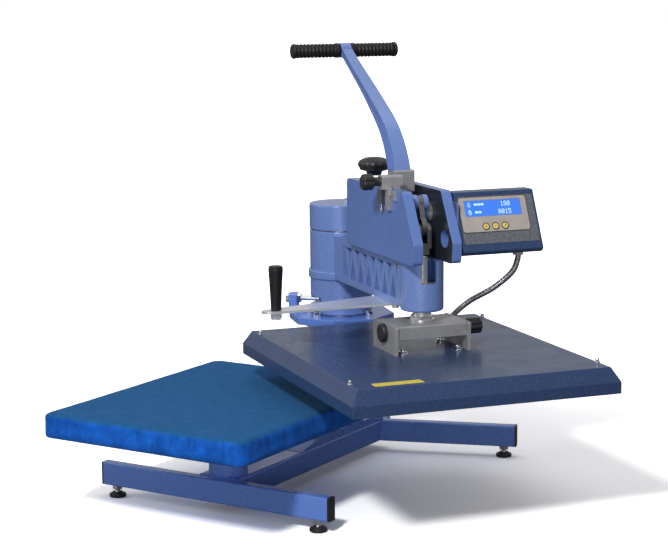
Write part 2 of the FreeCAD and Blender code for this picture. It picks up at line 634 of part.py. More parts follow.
def toggle_link():
    """Steel link; its lower eye has the clearance window of the open pivot."""
    cy, cz = crank_pin(0)
    top = cyl(11.5, (-4.5, cy, cz), X, 9)
    low = cyl(17, (-4.5, 3.0, RAM_PIN_Z + 5.0), X, 9)
    a = math.radians(LINK_REST)
    ny, nz = -math.sin(a) * 10.5, math.cos(a) * 10.5
    outline = [(cy + ny, cz + nz), (ny, RAM_PIN_Z + nz), (-ny, RAM_PIN_Z - nz), (cy - ny, cz - nz)]
    bar = side_plate(outline, -4.5, 4.5)
    body = fuse(top, low, bar)
    window = [cyl(5.5, (-5, *pin_in_link(k / 16)), X, 10) for k in range(17)]
    return cut(body, fuse(*window), cyl(6 + RUN, (-5, cy, cz), X, 10))


def lever_cross_bar():
    return cyl(BAR_R, (-GRIP_OUT + 2, GRIP_Y, GRIP_Z), X, 2 * GRIP_OUT - 4)


def lever_grip(side):
    x0, x1 = sorted((side * GRIP_IN, side * GRIP_OUT))
    g = cyl(GRIP_R, (x0, GRIP_Y, GRIP_Z), X, x1 - x0)
    g = round_edges(g, 2.5, lambda e: e.Curve.TypeId == "Part::GeomCircle")
    grooves = []
    pitch, width, depth = 8.0, 2.2, 1.2
    for k in range(10):
        x = x0 + 8 + pitch * k
        grooves.append(cut(cyl(GRIP_R + 1, (x, GRIP_Y, GRIP_Z), X, width),
                           cyl(GRIP_R - depth, (x - 1, GRIP_Y, GRIP_Z), X, width + 2)))
    bore = cyl(BAR_R, (-GRIP_OUT + 2, GRIP_Y, GRIP_Z), X, 2 * GRIP_OUT - 4)
    return cut(g, bore, *grooves)


# ---- lever lock on the left cheek --------------------------------------------------
LOCK_Y, LOCK_ARM_Z = 42.0, 363.0
ROD_SCREW_R, ROD_SCREW_XY = 2.5, (-47.0, 60.5)


def lock_bracket():
    """Clamp piece over the left cheek's top edge that carries the lever lock screw."""
    arm = box(-57, -19.6, LOCK_Y - 9, LOCK_Y + 9, LOCK_ARM_Z - 10, LOCK_ARM_Z + 10)
    arm = round_edges(arm, 4.0, lambda e: along(e, X))
    pad = box(-57, -24, LOCK_Y - 9, LOCK_Y + 9, CHEEK_TOP, LOCK_ARM_Z)
    leg_a = box(-48.5, -CHEEK_OUT, 26, 40, 316, LOCK_ARM_Z - 4)
    leg_b = box(-46.5, -CHEEK_OUT, 6, 14, 334, 349)
    rib = box(-46.5, -CHEEK_OUT, 12, 30, 341, 349)
    body = fuse(arm, pad, leg_a, leg_b, rib)
    return body.cut(cyl(4 + RUN, (-60, LOCK_Y, LOCK_ARM_Z), X, 45))


def lock_knob():
    """Lobed knob and its screw; the tip presses on the lever's root block."""
    x0 = -89.0
    body = cyl(13.5, (x0, LOCK_Y, LOCK_ARM_Z), X, 19)
    body = round_edges(body, 3.0, lambda e: e.Curve.TypeId == "Part::GeomCircle")
    notches = [cyl(4, (x0 - 1, LOCK_Y + 16 * math.cos(math.radians(60 * k)),
                       LOCK_ARM_Z + 16 * math.sin(math.radians(60 * k))), X, 21) for k in range(6)]
    neck = cyl(8.5, (x0 + 19, LOCK_Y, LOCK_ARM_Z), X, 12.5)
    screw = cyl(4, (x0 + 31, LOCK_Y, LOCK_ARM_Z), X, 38)
    return fuse(cut(body, *notches), neck, screw)


def clamp_block():
    """Dark block beside the bracket's long leg, drawn against the cheek."""
    b = box(-50.5, -CHEEK_OUT, 53, 68, 324, CHEEK_TOP)
    return round_edges(b, 2.0, lambda e: along(e, X)).cut(cyl(ROD_SCREW_R, (*ROD_SCREW_XY, 300), Z, 60))


def clamp_rod():
    """Long screw through the clamp block, with its chromed end nuts."""
    z0, z1 = 316.0, 354.0
    rod = cyl(ROD_SCREW_R, (*ROD_SCREW_XY, z0), Z, z1 - z0)
    return fuse(rod, cyl(3.8, (*ROD_SCREW_XY, z0 - 4), Z, 4), cyl(3.5, (*ROD_SCREW_XY, z1 - 1.8), Z, 3))


# ---- swing handle ------------------------------------------------------------------
HANDLE_X, HANDLE_Y, HANDLE_T = -232.0, 66.0, 4.0


def handle_plate():
    """Bright flat bar under the arm, tapering out to the swing grip."""
    z1 = ARM_Z0
    outline = [(-243, 52), (30, 52), (30, 132), (-40, 132), (-160, 104), (-243, 80)]
    p = fuse(flat_plate(outline, z1 - HANDLE_T, z1), cyl(14, (-243, 66, z1 - HANDLE_T), Z, HANDLE_T))
    screws = [cyl(4, (x, y, z1 - 10), Z, 12) for x in (-18, 18) for y in (70, 112)]
    return cut(p, cyl(6, (HANDLE_X, HANDLE_Y, z1 - 10), Z, 12), *screws)


def handle_screws():
    z = ARM_Z0 - HANDLE_T
    return [cap_screw(8, (x, y, z), Z * -1, HANDLE_T) for x in (-18, 18) for y in (70, 112)]


def handle_stud():
    """Chromed stud of the grip with its shoulder nut under the bar."""
    x, y, z = HANDLE_X, HANDLE_Y, ARM_Z0
    return fuse(cyl(6, (x, y, z - HANDLE_T), Z, 68 + HANDLE_T), hexagon(17, (x, y, z - HANDLE_T - 9), Z, 9),
                cyl(8.2, (x, y, z - HANDLE_T - 11), Z, 4))


def swing_grip():
    """Tapered fluted grip that turns on the stud."""
    x, y, z = HANDLE_X, HANDLE_Y, ARM_Z0 + 0.3
    g = cone(8.6, 12.2, (x, y, z), Z, 74)
    g = round_edges(g, 2.0, lambda e: e.BoundBox.ZMin > z + 73)
    flutes = []
    for k in range(8):
        a = math.radians(45 * k)
        flute = cyl(2.2, (x + 10.3 * math.cos(a), y + 10.3 * math.sin(a), z - 1), Z, 90)
        flute.rotate(V(x + 10.3 * math.cos(a), y + 10.3 * math.sin(a), z), V(-math.sin(a), math.cos(a), 0), 2.9)
        flutes.append(flute)
    return cut(g, cyl(6 + RUN, (x, y, z - 1), Z, 70), *flutes)


# ---- ram and yoke ------------------------------------------------------------------
def ram_bush():
    return cut(cyl(22, (0, 0, BOSS_Z0 + 1), Z, 47), cyl(RAM_R + RUN, (0, 0, 140), Z, 80))


def ram_shaft():
    """Chromed ram: thick guide below, thin rod and fork above."""
    thick = cyl(RAM_R, (0, 0, YOKE_Z0), Z, RAM_TOP - YOKE_Z0)
    thick = round_edges(thick, 1.0, lambda e: e.BoundBox.ZMin > RAM_TOP - 1)
    rod = cyl(ROD_R, (0, 0, RAM_TOP - 1), Z, RAM_PIN_Z - 38 - RAM_TOP + 1)
    z0 = RAM_PIN_Z - 30
    fork = fuse(box(-12, 12, -12, 12, z0, RAM_PIN_Z), cyl(12, (-12, 0, RAM_PIN_Z), X, 24))
    core = cyl(ROD_R, (0, 0, RAM_PIN_Z - 40), Z, 12)
    slot = box(-4.9, 4.9, -20, 20, z0 + 9, RAM_PIN_Z + 20)
    body = fuse(thick, rod, core, fork).cut(slot)
    return body.cut(cyl(5, (-20, 0, RAM_PIN_Z), X, 40))


def ram_lock_nut():
    n = hexagon(26, (0, 0, RAM_PIN_Z - 40), Z, 9.9)
    return n.cut(cyl(ROD_R, (0, 0, RAM_PIN_Z - 50), Z, 30))


def ram_pin():
    return cyl(5, (-12, 0, RAM_PIN_Z), X, 24)


def ram_flange_nut():
    """Round chromed nut that clamps the yoke block on the ram."""
    washer_t = 3.5
    n = fuse(cyl(21, (0, 0, YOKE_TOP), Z, washer_t), hexagon(36, (0, 0, YOKE_TOP + washer_t), Z, 6))
    return n.cut(cyl(RAM_R, (0, 0, 130), Z, 30))


def yoke_block():
    half = YOKE_X - YOKE_T - 0.3
    b = box(-half, half, -YOKE_Y + 5, YOKE_Y - 5, YOKE_Z0, YOKE_TOP)
    b = round_edges(b, 3.0, lambda e: along(e, X) and e.BoundBox.ZMin > YOKE_TOP - 1)
    return cut(b, cyl(RAM_R, (0, 0, YOKE_Z0), Z, 30), cyl(8 + RUN, (-70, 0, TRUNNION_Z), X, 140))


def yoke_plate(side):
    x0, x1 = sorted((side * (YOKE_X - YOKE_T), side * YOKE_X))
    p = box(x0, x1, -YOKE_Y, YOKE_Y, PLATEN_TOP, YOKE_TOP)
    p = round_edges(p, 2.5, lambda e: along(e, X) and e.BoundBox.ZMin > YOKE_TOP - 1)
    return p.cut(cyl(8, (x0 - 1, 0, TRUNNION_Z), X, YOKE_T + 2))


def trunnion_shaft(side):
    """Half shaft from the yoke plate into the block, short of the ram."""
    end = YOKE_X + (14 if side > 0 else 6)
    x0, x1 = sorted((side * (RAM_R + 6), side * end))
    return cyl(8, (x0, 0, TRUNNION_Z), X, x1 - x0)


def trunnion_cap():
    c = cyl(15.5, (-YOKE_X - 8, 0, TRUNNION_Z), X, 8)
    c = round_edges(c, 2.5, lambda e: e.BoundBox.XMax < -YOKE_X - 7.9)
    return c.cut(cyl(8, (-YOKE_X - 6, 0, TRUNNION_Z), X, 10))


def float_knob():
    """Knob at the right end of the trunnion that sets the float's friction."""
    x0 = YOKE_X + 16
    body = cyl(13.5, (x0, 0, TRUNNION_Z), X, 23)
    body = round_edges(body, 3.5, lambda e: e.Curve.TypeId == "Part::GeomCircle")
    hub = cyl(10, (YOKE_X + 0.3, 0, TRUNNION_Z), X, 17)
    notches = [cyl(3, (x0 - 1, 15 * math.cos(math.radians(45 * k)),
                       TRUNNION_Z + 15 * math.sin(math.radians(45 * k))), X, 26) for k in range(8)]
    return cut(fuse(cut(body, *notches), hub), cyl(8 + RUN, (YOKE_X, 0, TRUNNION_Z), X, 15))


# ---- heating platen ----------------------------------------------------------------
def hood(dx, z0, top, bevel, drop):
    """Solid with upright sides and a sloping rim below its flat top."""
    hx, hy = PLATEN_X / 2 - dx, PLATEN_Y / 2 - dx
    low = Part.makePolygon([V(-hx, -hy, top - drop), V(hx, -hy, top - drop), V(hx, hy, top - drop),
                            V(-hx, hy, top - drop), V(-hx, -hy, top - drop)])
    a, b = hx - bevel, hy - bevel
    high = Part.makePolygon([V(-a, -b, top), V(a, -b, top), V(a, b, top), V(-a, b, top), V(-a, -b, top)])
    rim = Part.makeLoft([low, high], True, True)
    side = box(-hx, hx, -hy, hy, z0, top - drop)
    return fuse(side, rim)


def platen_cover():
    t = 2.5
    outer = hood(0, PLATE_Z0 + 1, PLATEN_TOP, PLATEN_BEVEL, PLATEN_DROP)
    outer = round_edges(outer, 2.0, lambda e: not (along(e, X) or along(e, Y)))
    outer = round_edges(outer, 2.5, lambda e: e.BoundBox.ZMin > PLATEN_TOP - 0.1)
    inner = hood(t, PLATE_Z0, PLATEN_TOP - t, PLATEN_BEVEL, PLATEN_DROP)
    holes = [cyl(4, (x, y, 70), Z, 30) for x, y in YOKE_BOLTS]
    return cut(outer, inner, *holes, cyl(4.5, (*GLAND_XY, 70), Z, 30))


def heating_plate():
    hx, hy = TABLE_X / 2, TABLE_Y / 2
    p = box(-hx, hx, -hy, hy, PLATE_Z0, PLATE_Z0 + PLATE_T)
    p = round_edges(p, 8.0, lambda e: along(e, Z))
    p = round_edges(p, 2.0, lambda e: e.BoundBox.ZMax < PLATE_Z0 + 0.1)
    bores = [cyl(4.1, (x, -hy - 1, PLATE_Z0 + 9), Y, 2 * hy - 20) for x in HEATER_X]
    return cut(p, *bores, cyl(2.5, (20, -hy - 1, PLATE_Z0 + 9), Y, hy))


HEATER_X = (-150, -90, -30, 50, 110, 165)


def cartridge_heaters():
    return [cyl(4, (x, -TABLE_Y / 2 - 5, PLATE_Z0 + 9), Y, TABLE_Y - 30) for x in HEATER_X]


def temperature_probe():
    return cyl(2.4, (20, -TABLE_Y / 2 - 5, PLATE_Z0 + 9), Y, TABLE_Y / 2)


def insulation_board():
    z0 = PLATE_Z0 + PLATE_T
    b = box(-TABLE_X / 2, TABLE_X / 2, -TABLE_Y / 2, TABLE_Y / 2, z0, PLATEN_TOP - 2.6)
    b = cut(b, *[cyl(8, (x, y, z0 - 1), Z, 40) for x, y in YOKE_BOLTS])
    return b.cut(cyl(9, (*GLAND_XY, 70), Z, 30))


YOKE_BOLTS = [(-49, -35), (49, -35), (-49, 35), (49, 35)]
GLAND_XY = (78.0, 64.0)


def platen_studs():
    """Studs from the heating plate through the cover, each with a round nut."""
    out = []
    for x, y in YOKE_BOLTS:
        stud = cyl(3.9, (x, y, PLATE_Z0 + PLATE_T), Z, PLATEN_TOP + 9 - PLATE_Z0 - PLATE_T)
        nut = fuse(hexagon(13, (x, y, PLATEN_TOP), Z, 5), cyl(9, (x, y, PLATEN_TOP), Z, 1.2))
        out.append(fuse(stud, nut))
    return out


def platen_corner_pins():
    out = []
    for x in (-211, 211):
        for y in (-214, 214):
            pin = fuse(cyl(3, (x, y, PLATEN_TOP), Z, 6.5), cyl(4.5, (x, y, PLATEN_TOP), Z, 1.5))
            out.append(round_edges(pin, 0.8, lambda e: e.BoundBox.ZMin > PLATEN_TOP + 6.4))
    return out


# ---- controller --------------------------------------------------------------------
CTRL_X0, CTRL_X1 = 46.0, 190.0
PANEL_TOP = (-22.0, 346.0)
PANEL_LOW = (-66.0, 252.0)
PANEL_LEAN = math.degrees(math.atan2(PANEL_TOP[0] - PANEL_LOW[0], PANEL_TOP[1] - PANEL_LOW[1]))
PANEL_H = math.hypot(PANEL_TOP[0] - PANEL_LOW[0], PANEL_TOP[1] - PANEL_LOW[1])


def on_panel(shape):
    """Place a shape drawn face-on: x across from the case's left side, y up the panel,
    z out of it, with the origin at the panel's lower left corner."""
    s = shape.copy()
    s.rotate(V(0, 0, 0), X, 90 - PANEL_LEAN)
    s.translate(V(CTRL_X0, PANEL_LOW[0], PANEL_LOW[1]))
    return s


CONDUIT_X = 159.0
BUTTON_X, BUTTON_Y, BUTTON_R = (47.3, 64.6, 81.9), 43.0, 5.0
CTRL_W = CTRL_X1 - CTRL_X0
FILM = (4.0, CTRL_W - 4.0, 14.0, PANEL_H - 8.0)       # panel film: x0, x1, y0, y1
SCREEN = (15.0, 116.0, 61.0, 88.0)                    # display: x0, x1, y0, y1


def controller_case():
    outline = [PANEL_TOP, PANEL_LOW, (-58, 246), (-8, 246), (26, 300), (10, 346)]
    b = side_plate(outline, CTRL_X0, CTRL_X1)
    b = round_edges(b, 4.0, lambda e: along(e, X))
    wall = 2.5
    inner = [(-19, 343.5), (-61.5, 253.5), (-56, 248.5), (-9.5, 248.5), (23, 300.5), (8, 343.5)]
    cavity = side_plate(inner, CTRL_X0 + wall, CTRL_X1 - wall)
    window = on_panel(box(*FILM, -10, 10))
    conduit_hole = cyl(7, (CONDUIT_X, CONDUIT_Y, 240), Z, 12)
    return cut(b, cavity, window, conduit_hole, cyl(9, (CTRL_X0 - 1, -34, 273), X, 6))


def controller_panel():
    p = on_panel(round_edges(box(*FILM, -3.0, 0.6), 3.0, lambda e: along(e, Z)))
    holes = [on_panel(cyl(BUTTON_R + 0.3, (x, BUTTON_Y, -5), Z, 10)) for x in BUTTON_X]
    return cut(p, on_panel(box(*SCREEN, -5, 5)), *holes)


def inside_screen(gap, z0, z1):
    x0, x1, y0, y1 = SCREEN
    return box(x0 + gap, x1 - gap, y0 + gap, y1 - gap, z0, z1)


def display_window():
    return on_panel(inside_screen(0.1, -3, 0.9))


def controller_button(k):
    cap = cyl(BUTTON_R, (BUTTON_X[k], BUTTON_Y, -3.0), Z, 5.0)
    cap = round_edges(cap, 0.8, lambda e: e.BoundBox.ZMin > 1.9)
    return on_panel(cap)


def circuit_board():
    board = box(12, CTRL_W - 12, 10, PANEL_H - 14, -12, -10.4)
    switches = [box(x - 4, x + 4, BUTTON_Y - 4, BUTTON_Y + 4, -10.4, -4.2) for x in BUTTON_X]
    return on_panel(fuse(board, inside_screen(2.0, -10.4, -3.1), *switches))


def controller_bracket():
    """Plate that bolts the case to the right cheek."""
    p = round_edges(box(CHEEK_OUT, CTRL_X0, -44, 8, 256, 332), 3.0, lambda e: along(e, X))
    return p.cut(cyl(12, (CHEEK_OUT - 1, -34, 273), X, 6))


def swept_tube(points, r):
    """A round bar along a smooth curve through the points, upright at both ends."""
    curve = Part.BSplineCurve()
    curve.interpolate(Points=[V(*p) for p in points], InitialTangent=Z * -1, FinalTangent=Z * -1)
    path = Part.Wire([curve.toShape()])
    start = curve.tangent(curve.FirstParameter)[0]
    ring = Part.Wire([Part.Circle(V(*points[0]), start, r).toShape()])
    return path.makePipeShell([ring], True, True)


CONDUIT_R, CONDUIT_Y = 5.0, -33.0
CONDUIT_PATH = [(CONDUIT_X, CONDUIT_Y, 243), (136, 10, 180), (98, 52, 146), (*GLAND_XY, 106)]


def conduit():
    return swept_tube(CONDUIT_PATH, CONDUIT_R)


def conduit_gland():
    z = 246.0
    x, y = CONDUIT_X, CONDUIT_Y
    g = fuse(hexagon(17, (x, y, z - 7), Z, 7), cyl(6.9, (x, y, z), Z, 6))
    return cut(g, cyl(CONDUIT_R + 0.4, (x, y, z - 10), Z, 7), cyl(3, (x, y, z - 10), Z, 30))


def platen_gland():
    x, y = GLAND_XY
    g = fuse(hexagon(17, (x, y, PLATEN_TOP), Z, 8), cyl(4.4, (x, y, PLATEN_TOP - 4), Z, 5),
             cyl(7, (x, y, PLATEN_TOP + 8), Z, 4.5))
    return g.cut(cyl(3, (x, y, PLATEN_TOP - 6), Z, 30))


# ---- write the sub-parts ------------------------------------------------------------
LEVER_BODY = lever_arm()


def base_fasteners():
    return group(foot_lock_nuts() + flange_screws() + column_cap_screws())


def column_washers():
    return group([shim_plate(), thrust_washer(FLANGE_TOP, HUB_Z0 - 0.1, 50),
                  thrust_washer(HUB_TOP + 0.1, COLLAR_Z0, 53)])


def head_bushes():
    return group([hub_bush(HUB_Z0, HUB_Z0 + 45), hub_bush(HUB_TOP - 45, HUB_TOP), ram_bush()])


BASE_PARTS = {
    "front_cross_tube": front_cross_tube,
    "centre_beam": centre_beam,
    "rear_legs": lambda: group([rear_leg(-1), rear_leg(1)]),
    "tube_end_caps": tube_end_caps,
    "foot_front_left": lambda: foot("foot_front_left"),
    "foot_front_right": lambda: foot("foot_front_right"),
    "foot_rear_left": lambda: foot("foot_rear_left"),
    "foot_rear_right": lambda: foot("foot_rear_right"),
    "base_fasteners": base_fasteners,
    "table_socket": table_socket,
    "table_lock_screw": table_lock_screw,
    "table_plate": table_plate,
    "table_pad": table_pad,
    "table_cover": table_cover,
    "pedestal": lambda: group([pedestal_plate(), pedestal()]),
    "column_washers": column_washers,
    "swing_flange": swing_flange,
    "spindle": spindle,
    "column_cap": column_cap,
    "stop_bracket": stop_bracket,
    "swing_stop_screw": swing_stop_screw,
}

HEAD_PARTS = {
    "arm_casting": arm_casting,
    "head_bushes": head_bushes,
    "cheek_left": lambda: cheek(-1),
    "cheek_right": lambda: cheek(1),
    "cheek_brackets": lambda: group([head_bridge(), controller_bracket()] + spacer_blocks()),
    "head_screws": lambda: group(tie_screws() + handle_screws() + [arm_side_screw()]),
    "pressure_carriage": pressure_carriage,
    "lever_pivot_pin": lever_pivot_pin,
    "pressure_knob": lambda: group([pressure_knob(), pressure_screw()]),
    "lever_arm": lambda: LEVER_BODY,
    "lever_root_block": lever_root_block,
    "lever_shafts": lambda: group([crank_pin_shaft(), lever_cross_bar()]),
    "lever_grips": lambda: group([lever_grip(-1), lever_grip(1)]),
    "toggle_link": toggle_link,
    "lock_bracket": lock_bracket,
    "lock_knob": lock_knob,
    "bracket_clamp": lambda: group([clamp_block(), clamp_rod()]),
    "swing_handle": lambda: group([handle_plate(), handle_stud()]),
    "swing_grip": swing_grip,
    "ram_shaft": lambda: group([ram_shaft(), ram_lock_nut(), ram_pin(), ram_flange_nut()]),
    "yoke_block": yoke_block,
    "yoke_plates": lambda: group([yoke_plate(-1), yoke_plate(1)]),
    "trunnion_shafts": lambda: group([trunnion_shaft(-1), trunnion_shaft(1)]),
    "trunnion_cap": trunnion_cap,
    "float_knob": float_knob,
    "platen_cover": platen_cover,
    "heating_plate": heating_plate,
    "cartridge_heaters": lambda: group(cartridge_heaters() + [temperature_probe()]),
    "insulation_board": insulation_board,
    "platen_fittings": lambda: group(platen_studs() + platen_corner_pins() + [platen_gland()]),
    "controller_case": controller_case,
    "controller_panel": controller_panel,
    "display_window": display_window,
    "button_1": lambda: controller_button(0),
    "button_2": lambda: controller_button(1),
    "button_3": lambda: controller_button(2),
    "circuit_board": circuit_board,
    "conduit": conduit,
    "conduit_gland": conduit_gland,
}


def main():
    os.makedirs("parts", exist_ok=True)
    for name, make in BASE_PARTS.items():
        make().exportStep("parts/" + name + ".step")
    for name, make in HEAD_PARTS.items():
        turned(make()).exportStep("parts/" + name + ".step")


main()
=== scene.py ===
import json
import math

import bmesh
import bpy
from mathutils import Matrix, Vector, noise


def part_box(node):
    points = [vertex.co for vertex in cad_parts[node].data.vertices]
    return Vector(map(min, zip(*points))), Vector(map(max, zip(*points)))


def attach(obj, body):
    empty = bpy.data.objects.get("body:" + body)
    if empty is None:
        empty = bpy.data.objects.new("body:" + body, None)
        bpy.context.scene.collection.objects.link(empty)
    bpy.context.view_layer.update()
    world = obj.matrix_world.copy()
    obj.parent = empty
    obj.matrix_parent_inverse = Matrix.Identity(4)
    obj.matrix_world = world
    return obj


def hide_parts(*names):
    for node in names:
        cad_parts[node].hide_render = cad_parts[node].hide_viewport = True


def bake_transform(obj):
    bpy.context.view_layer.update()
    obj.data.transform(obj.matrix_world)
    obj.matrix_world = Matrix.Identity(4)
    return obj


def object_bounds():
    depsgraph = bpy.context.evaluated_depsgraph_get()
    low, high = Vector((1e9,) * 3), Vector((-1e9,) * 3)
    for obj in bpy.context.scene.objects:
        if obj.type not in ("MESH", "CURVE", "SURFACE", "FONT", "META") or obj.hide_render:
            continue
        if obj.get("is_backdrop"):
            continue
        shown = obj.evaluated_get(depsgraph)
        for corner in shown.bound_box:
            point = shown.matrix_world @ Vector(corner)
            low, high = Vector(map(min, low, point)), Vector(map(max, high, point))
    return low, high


# Looks of a swing-away heat press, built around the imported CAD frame.
# Metres, with the frame's origin at the centre of the table's top face.
# Head parts are placed in the head's own axes: x across the head, y to its back, z up,
# with the ram's axis at x = y = 0, and given there in millimetres.

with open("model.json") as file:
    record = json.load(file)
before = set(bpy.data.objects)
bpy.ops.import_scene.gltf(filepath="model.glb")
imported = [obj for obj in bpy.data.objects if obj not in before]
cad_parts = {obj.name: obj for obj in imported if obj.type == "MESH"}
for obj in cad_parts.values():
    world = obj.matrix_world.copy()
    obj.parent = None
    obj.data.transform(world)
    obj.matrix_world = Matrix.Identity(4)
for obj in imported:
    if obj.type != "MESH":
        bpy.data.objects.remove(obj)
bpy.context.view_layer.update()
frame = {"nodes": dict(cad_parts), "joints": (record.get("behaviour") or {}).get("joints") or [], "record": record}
MM = 0.001
Z = Vector((0, 0, 1))
JOINTS = {j["name"]: j for j in frame["joints"]}

HEAD_X = Vector(JOINTS["lever_pull"]["axis"]).normalized()
HEAD_Y = Z.cross(HEAD_X)
RAM_AXIS = Vector((*JOINTS["platen_float"]["pos_m"][:2], 0))
HEAD = Matrix.Translation(RAM_AXIS) @ Matrix((HEAD_X, HEAD_Y, Z)).transposed().to_4x4()


def at(x, y, z):
    """A point of the resting head, from millimetres in the head's own axes."""
    return HEAD @ (Vector((x, y, z)) * MM)


def turn(x, y, z):
    """A direction in the head's own axes, as a direction in the frame."""
    return (HEAD.to_3x3() @ Vector((x, y, z))).normalized()


def head_box(node):
    """Lowest and highest corner of a CAD node in the head's own axes, in millimetres."""
    back = HEAD.inverted()
    points = [back @ v.co for v in frame["nodes"][node].data.vertices]
    low = Vector(min(p[i] for p in points) for i in range(3)) / MM
    high = Vector(max(p[i] for p in points) for i in range(3)) / MM
    return low, high


# ---- node materials -----------------------------------------------------------------
class Shader:
    """A procedural material: each method adds a node and returns its output."""

    def __init__(self, name):
        self.material = bpy.data.materials.new(name)
        self.material.use_nodes = True
        self.tree = self.material.node_tree
        self.surface = self.tree.nodes["Principled BSDF"]
        self.place = self.node("TexCoord").outputs["Object"]

    def node(self, kind, **settings):
        made = self.tree.nodes.new("ShaderNode" + kind)
        for key, value in settings.items():
            setattr(made, key, value)
        return made

    def put(self, socket, value):
        if isinstance(value, bpy.types.NodeSocket):
            self.tree.links.new(value, socket)
        elif isinstance(value, (tuple, list)) and len(value) == 3 and socket.type == "RGBA":
            socket.default_value = (*value, 1)
        else:
            socket.default_value = value

    def stretched(self, sx, sy, sz):
        made = self.node("Mapping")
        self.put(made.inputs["Vector"], self.place)
        self.put(made.inputs["Scale"], (sx, sy, sz))
        return made.outputs["Vector"]

    def noise(self, scale, detail=2.0, rough=0.5, place=None):
        made = self.node("TexNoise")
        self.put(made.inputs["Vector"], place or self.place)
        self.put(made.inputs["Scale"], scale)
        self.put(made.inputs["Detail"], detail)
        self.put(made.inputs["Roughness"], rough)
        return made.outputs["Fac"]

    def cells(self, scale, smooth=0.6):
        made = self.node("TexVoronoi", feature="SMOOTH_F1")
        self.put(made.inputs["Vector"], self.place)
        self.put(made.inputs["Scale"], scale)
        self.put(made.inputs["Smoothness"], smooth)
        return made.outputs["Distance"]

    def flakes(self, scale):
        """One random shade per small cell."""
        made = self.node("TexVoronoi", feature="F1")
        self.put(made.inputs["Vector"], self.place)
        self.put(made.inputs["Scale"], scale)
        return self.apart(made.outputs["Color"])

    def apart(self, colour):
        made = self.node("SeparateColor")
        self.put(made.inputs[0], colour)
        return made.outputs[0]

    def spread(self, value, low, high, to_low=0.0, to_high=1.0):
        """Map low..high of a value onto to_low..to_high, clamped."""
        made = self.node("MapRange")
        for slot, number in zip(made.inputs, (value, low, high, to_low, to_high)):
            self.put(slot, number)
        return made.outputs[0]

    def sum(self, operation, a, b):
        made = self.node("Math", operation=operation)
        self.put(made.inputs[0], a)
        self.put(made.inputs[1], b)
        return made.outputs[0]

    def mix(self, share, a, b):
        made = self.node("Mix", data_type="RGBA")
        self.put(made.inputs[0], share)
        self.put(made.inputs[6], a)
        self.put(made.inputs[7], b)
        return made.outputs[2]

    def rounded(self, radius):
        """Normals softened over an edge of this radius, in metres."""
        made = self.node("Bevel", samples=4)
        self.put(made.inputs["Radius"], radius)
        return made.outputs["Normal"]

    def edges(self, radius):
        """1 on worn outer and inner edges, 0 on flats."""
        soft = self.rounded(radius)
        flat = self.node("NewGeometry").outputs["Normal"]
        made = self.node("VectorMath", operation="DOT_PRODUCT")
        self.put(made.inputs[0], soft)
        self.put(made.inputs[1], flat)
        return self.spread(made.outputs["Value"], 0.995, 0.80)

    def inward_shade_mask(self):
        """1 on faces that look at the head's middle plane, on either side of it; it masks the painted shade inside
        the head.
        """
        made = self.node("VectorMath", operation="DOT_PRODUCT")
        self.put(made.inputs[0], self.node("TexCoord").outputs["Normal"])
        self.put(made.inputs[1], tuple(HEAD_X))
        offset = self.node("VectorMath", operation="SUBTRACT")
        self.put(offset.inputs[0], self.place)
        self.put(offset.inputs[1], tuple(RAM_AXIS))
        across = self.node("VectorMath", operation="DOT_PRODUCT")
        self.put(across.inputs[0], offset.outputs["Vector"])
        self.put(across.inputs[1], tuple(HEAD_X))
        product = self.sum("MULTIPLY", made.outputs["Value"], self.sum("SIGN", across.outputs["Value"], 0.0))
        return self.spread(product, -0.85, -0.95)

    def above(self, level):
        """1 above a height in metres, 0 below it."""
        split = self.node("SeparateXYZ")
        self.put(split.inputs[0], self.place)
        return self.spread(split.outputs["Z"], level - 0.0002, level + 0.0002)

    def bump(self, height, distance, strength=1.0, under=None):
        made = self.node("Bump")
        self.put(made.inputs["Height"], height)
        self.put(made.inputs["Distance"], distance)
        self.put(made.inputs["Strength"], strength)
        if under is not None:
            self.put(made.inputs["Normal"], under)
        return made.outputs["Normal"]

    def finish(self, **values):
        for key, value in values.items():
            self.put(self.surface.inputs[key.replace("_", " ")], value)
        return self.material


def hammered(name, base, deep, light, cell, relief, flake_and_glint=0.3, inner=None, gloss=0.4):
    """Hammered enamel: pooled cells with a metallic flake and painted glints, glossy, thin along edges.
    inner may name a colour of painted shade for faces that look along the head's x axis from inside."""
    s = Shader(name)
    cells = s.cells(1 / cell)
    cloudy = s.spread(s.noise(9, 3), 0.3, 0.7)
    colour = s.mix(s.sum("MULTIPLY", cloudy, 0.25), base, deep)
    colour = s.mix(s.spread(cells, 0.1, 0.75, 0.0, flake_and_glint), colour, light)
    # painted highlight: a few small cells are lightened as glints of the flake
    painted_glints = s.spread(s.flakes(2.4 / cell), 0.90, 1.0, 0.0, flake_and_glint * 1.2)
    colour = s.mix(painted_glints, colour, light)
    wear = s.sum("MULTIPLY", s.edges(0.0010), s.spread(s.noise(160, 4), 0.40, 0.75, 0.05, 0.5))
    colour = s.mix(wear, colour, light)
    fine = s.noise(1.2 / cell, 3, 0.6)
    height = s.sum("ADD", s.sum("MULTIPLY", cells, 1.0), s.sum("MULTIPLY", fine, 0.5))
    normal = s.bump(height, relief, 1.0, s.rounded(0.0012))
    rough = s.spread(s.noise(22, 3), 0.3, 0.7, 0.24, 0.34)
    # painted shade: faces that look inward across the head are darkened to the shade inside it
    if inner:
        colour = s.mix(s.inward_shade_mask(), colour, inner)
    return s.finish(Base_Color=colour, Metallic=0.12, Roughness=rough, Normal=normal,
                    Coat_Weight=gloss * 0.6, Coat_Roughness=0.12, Specular_IOR_Level=gloss)


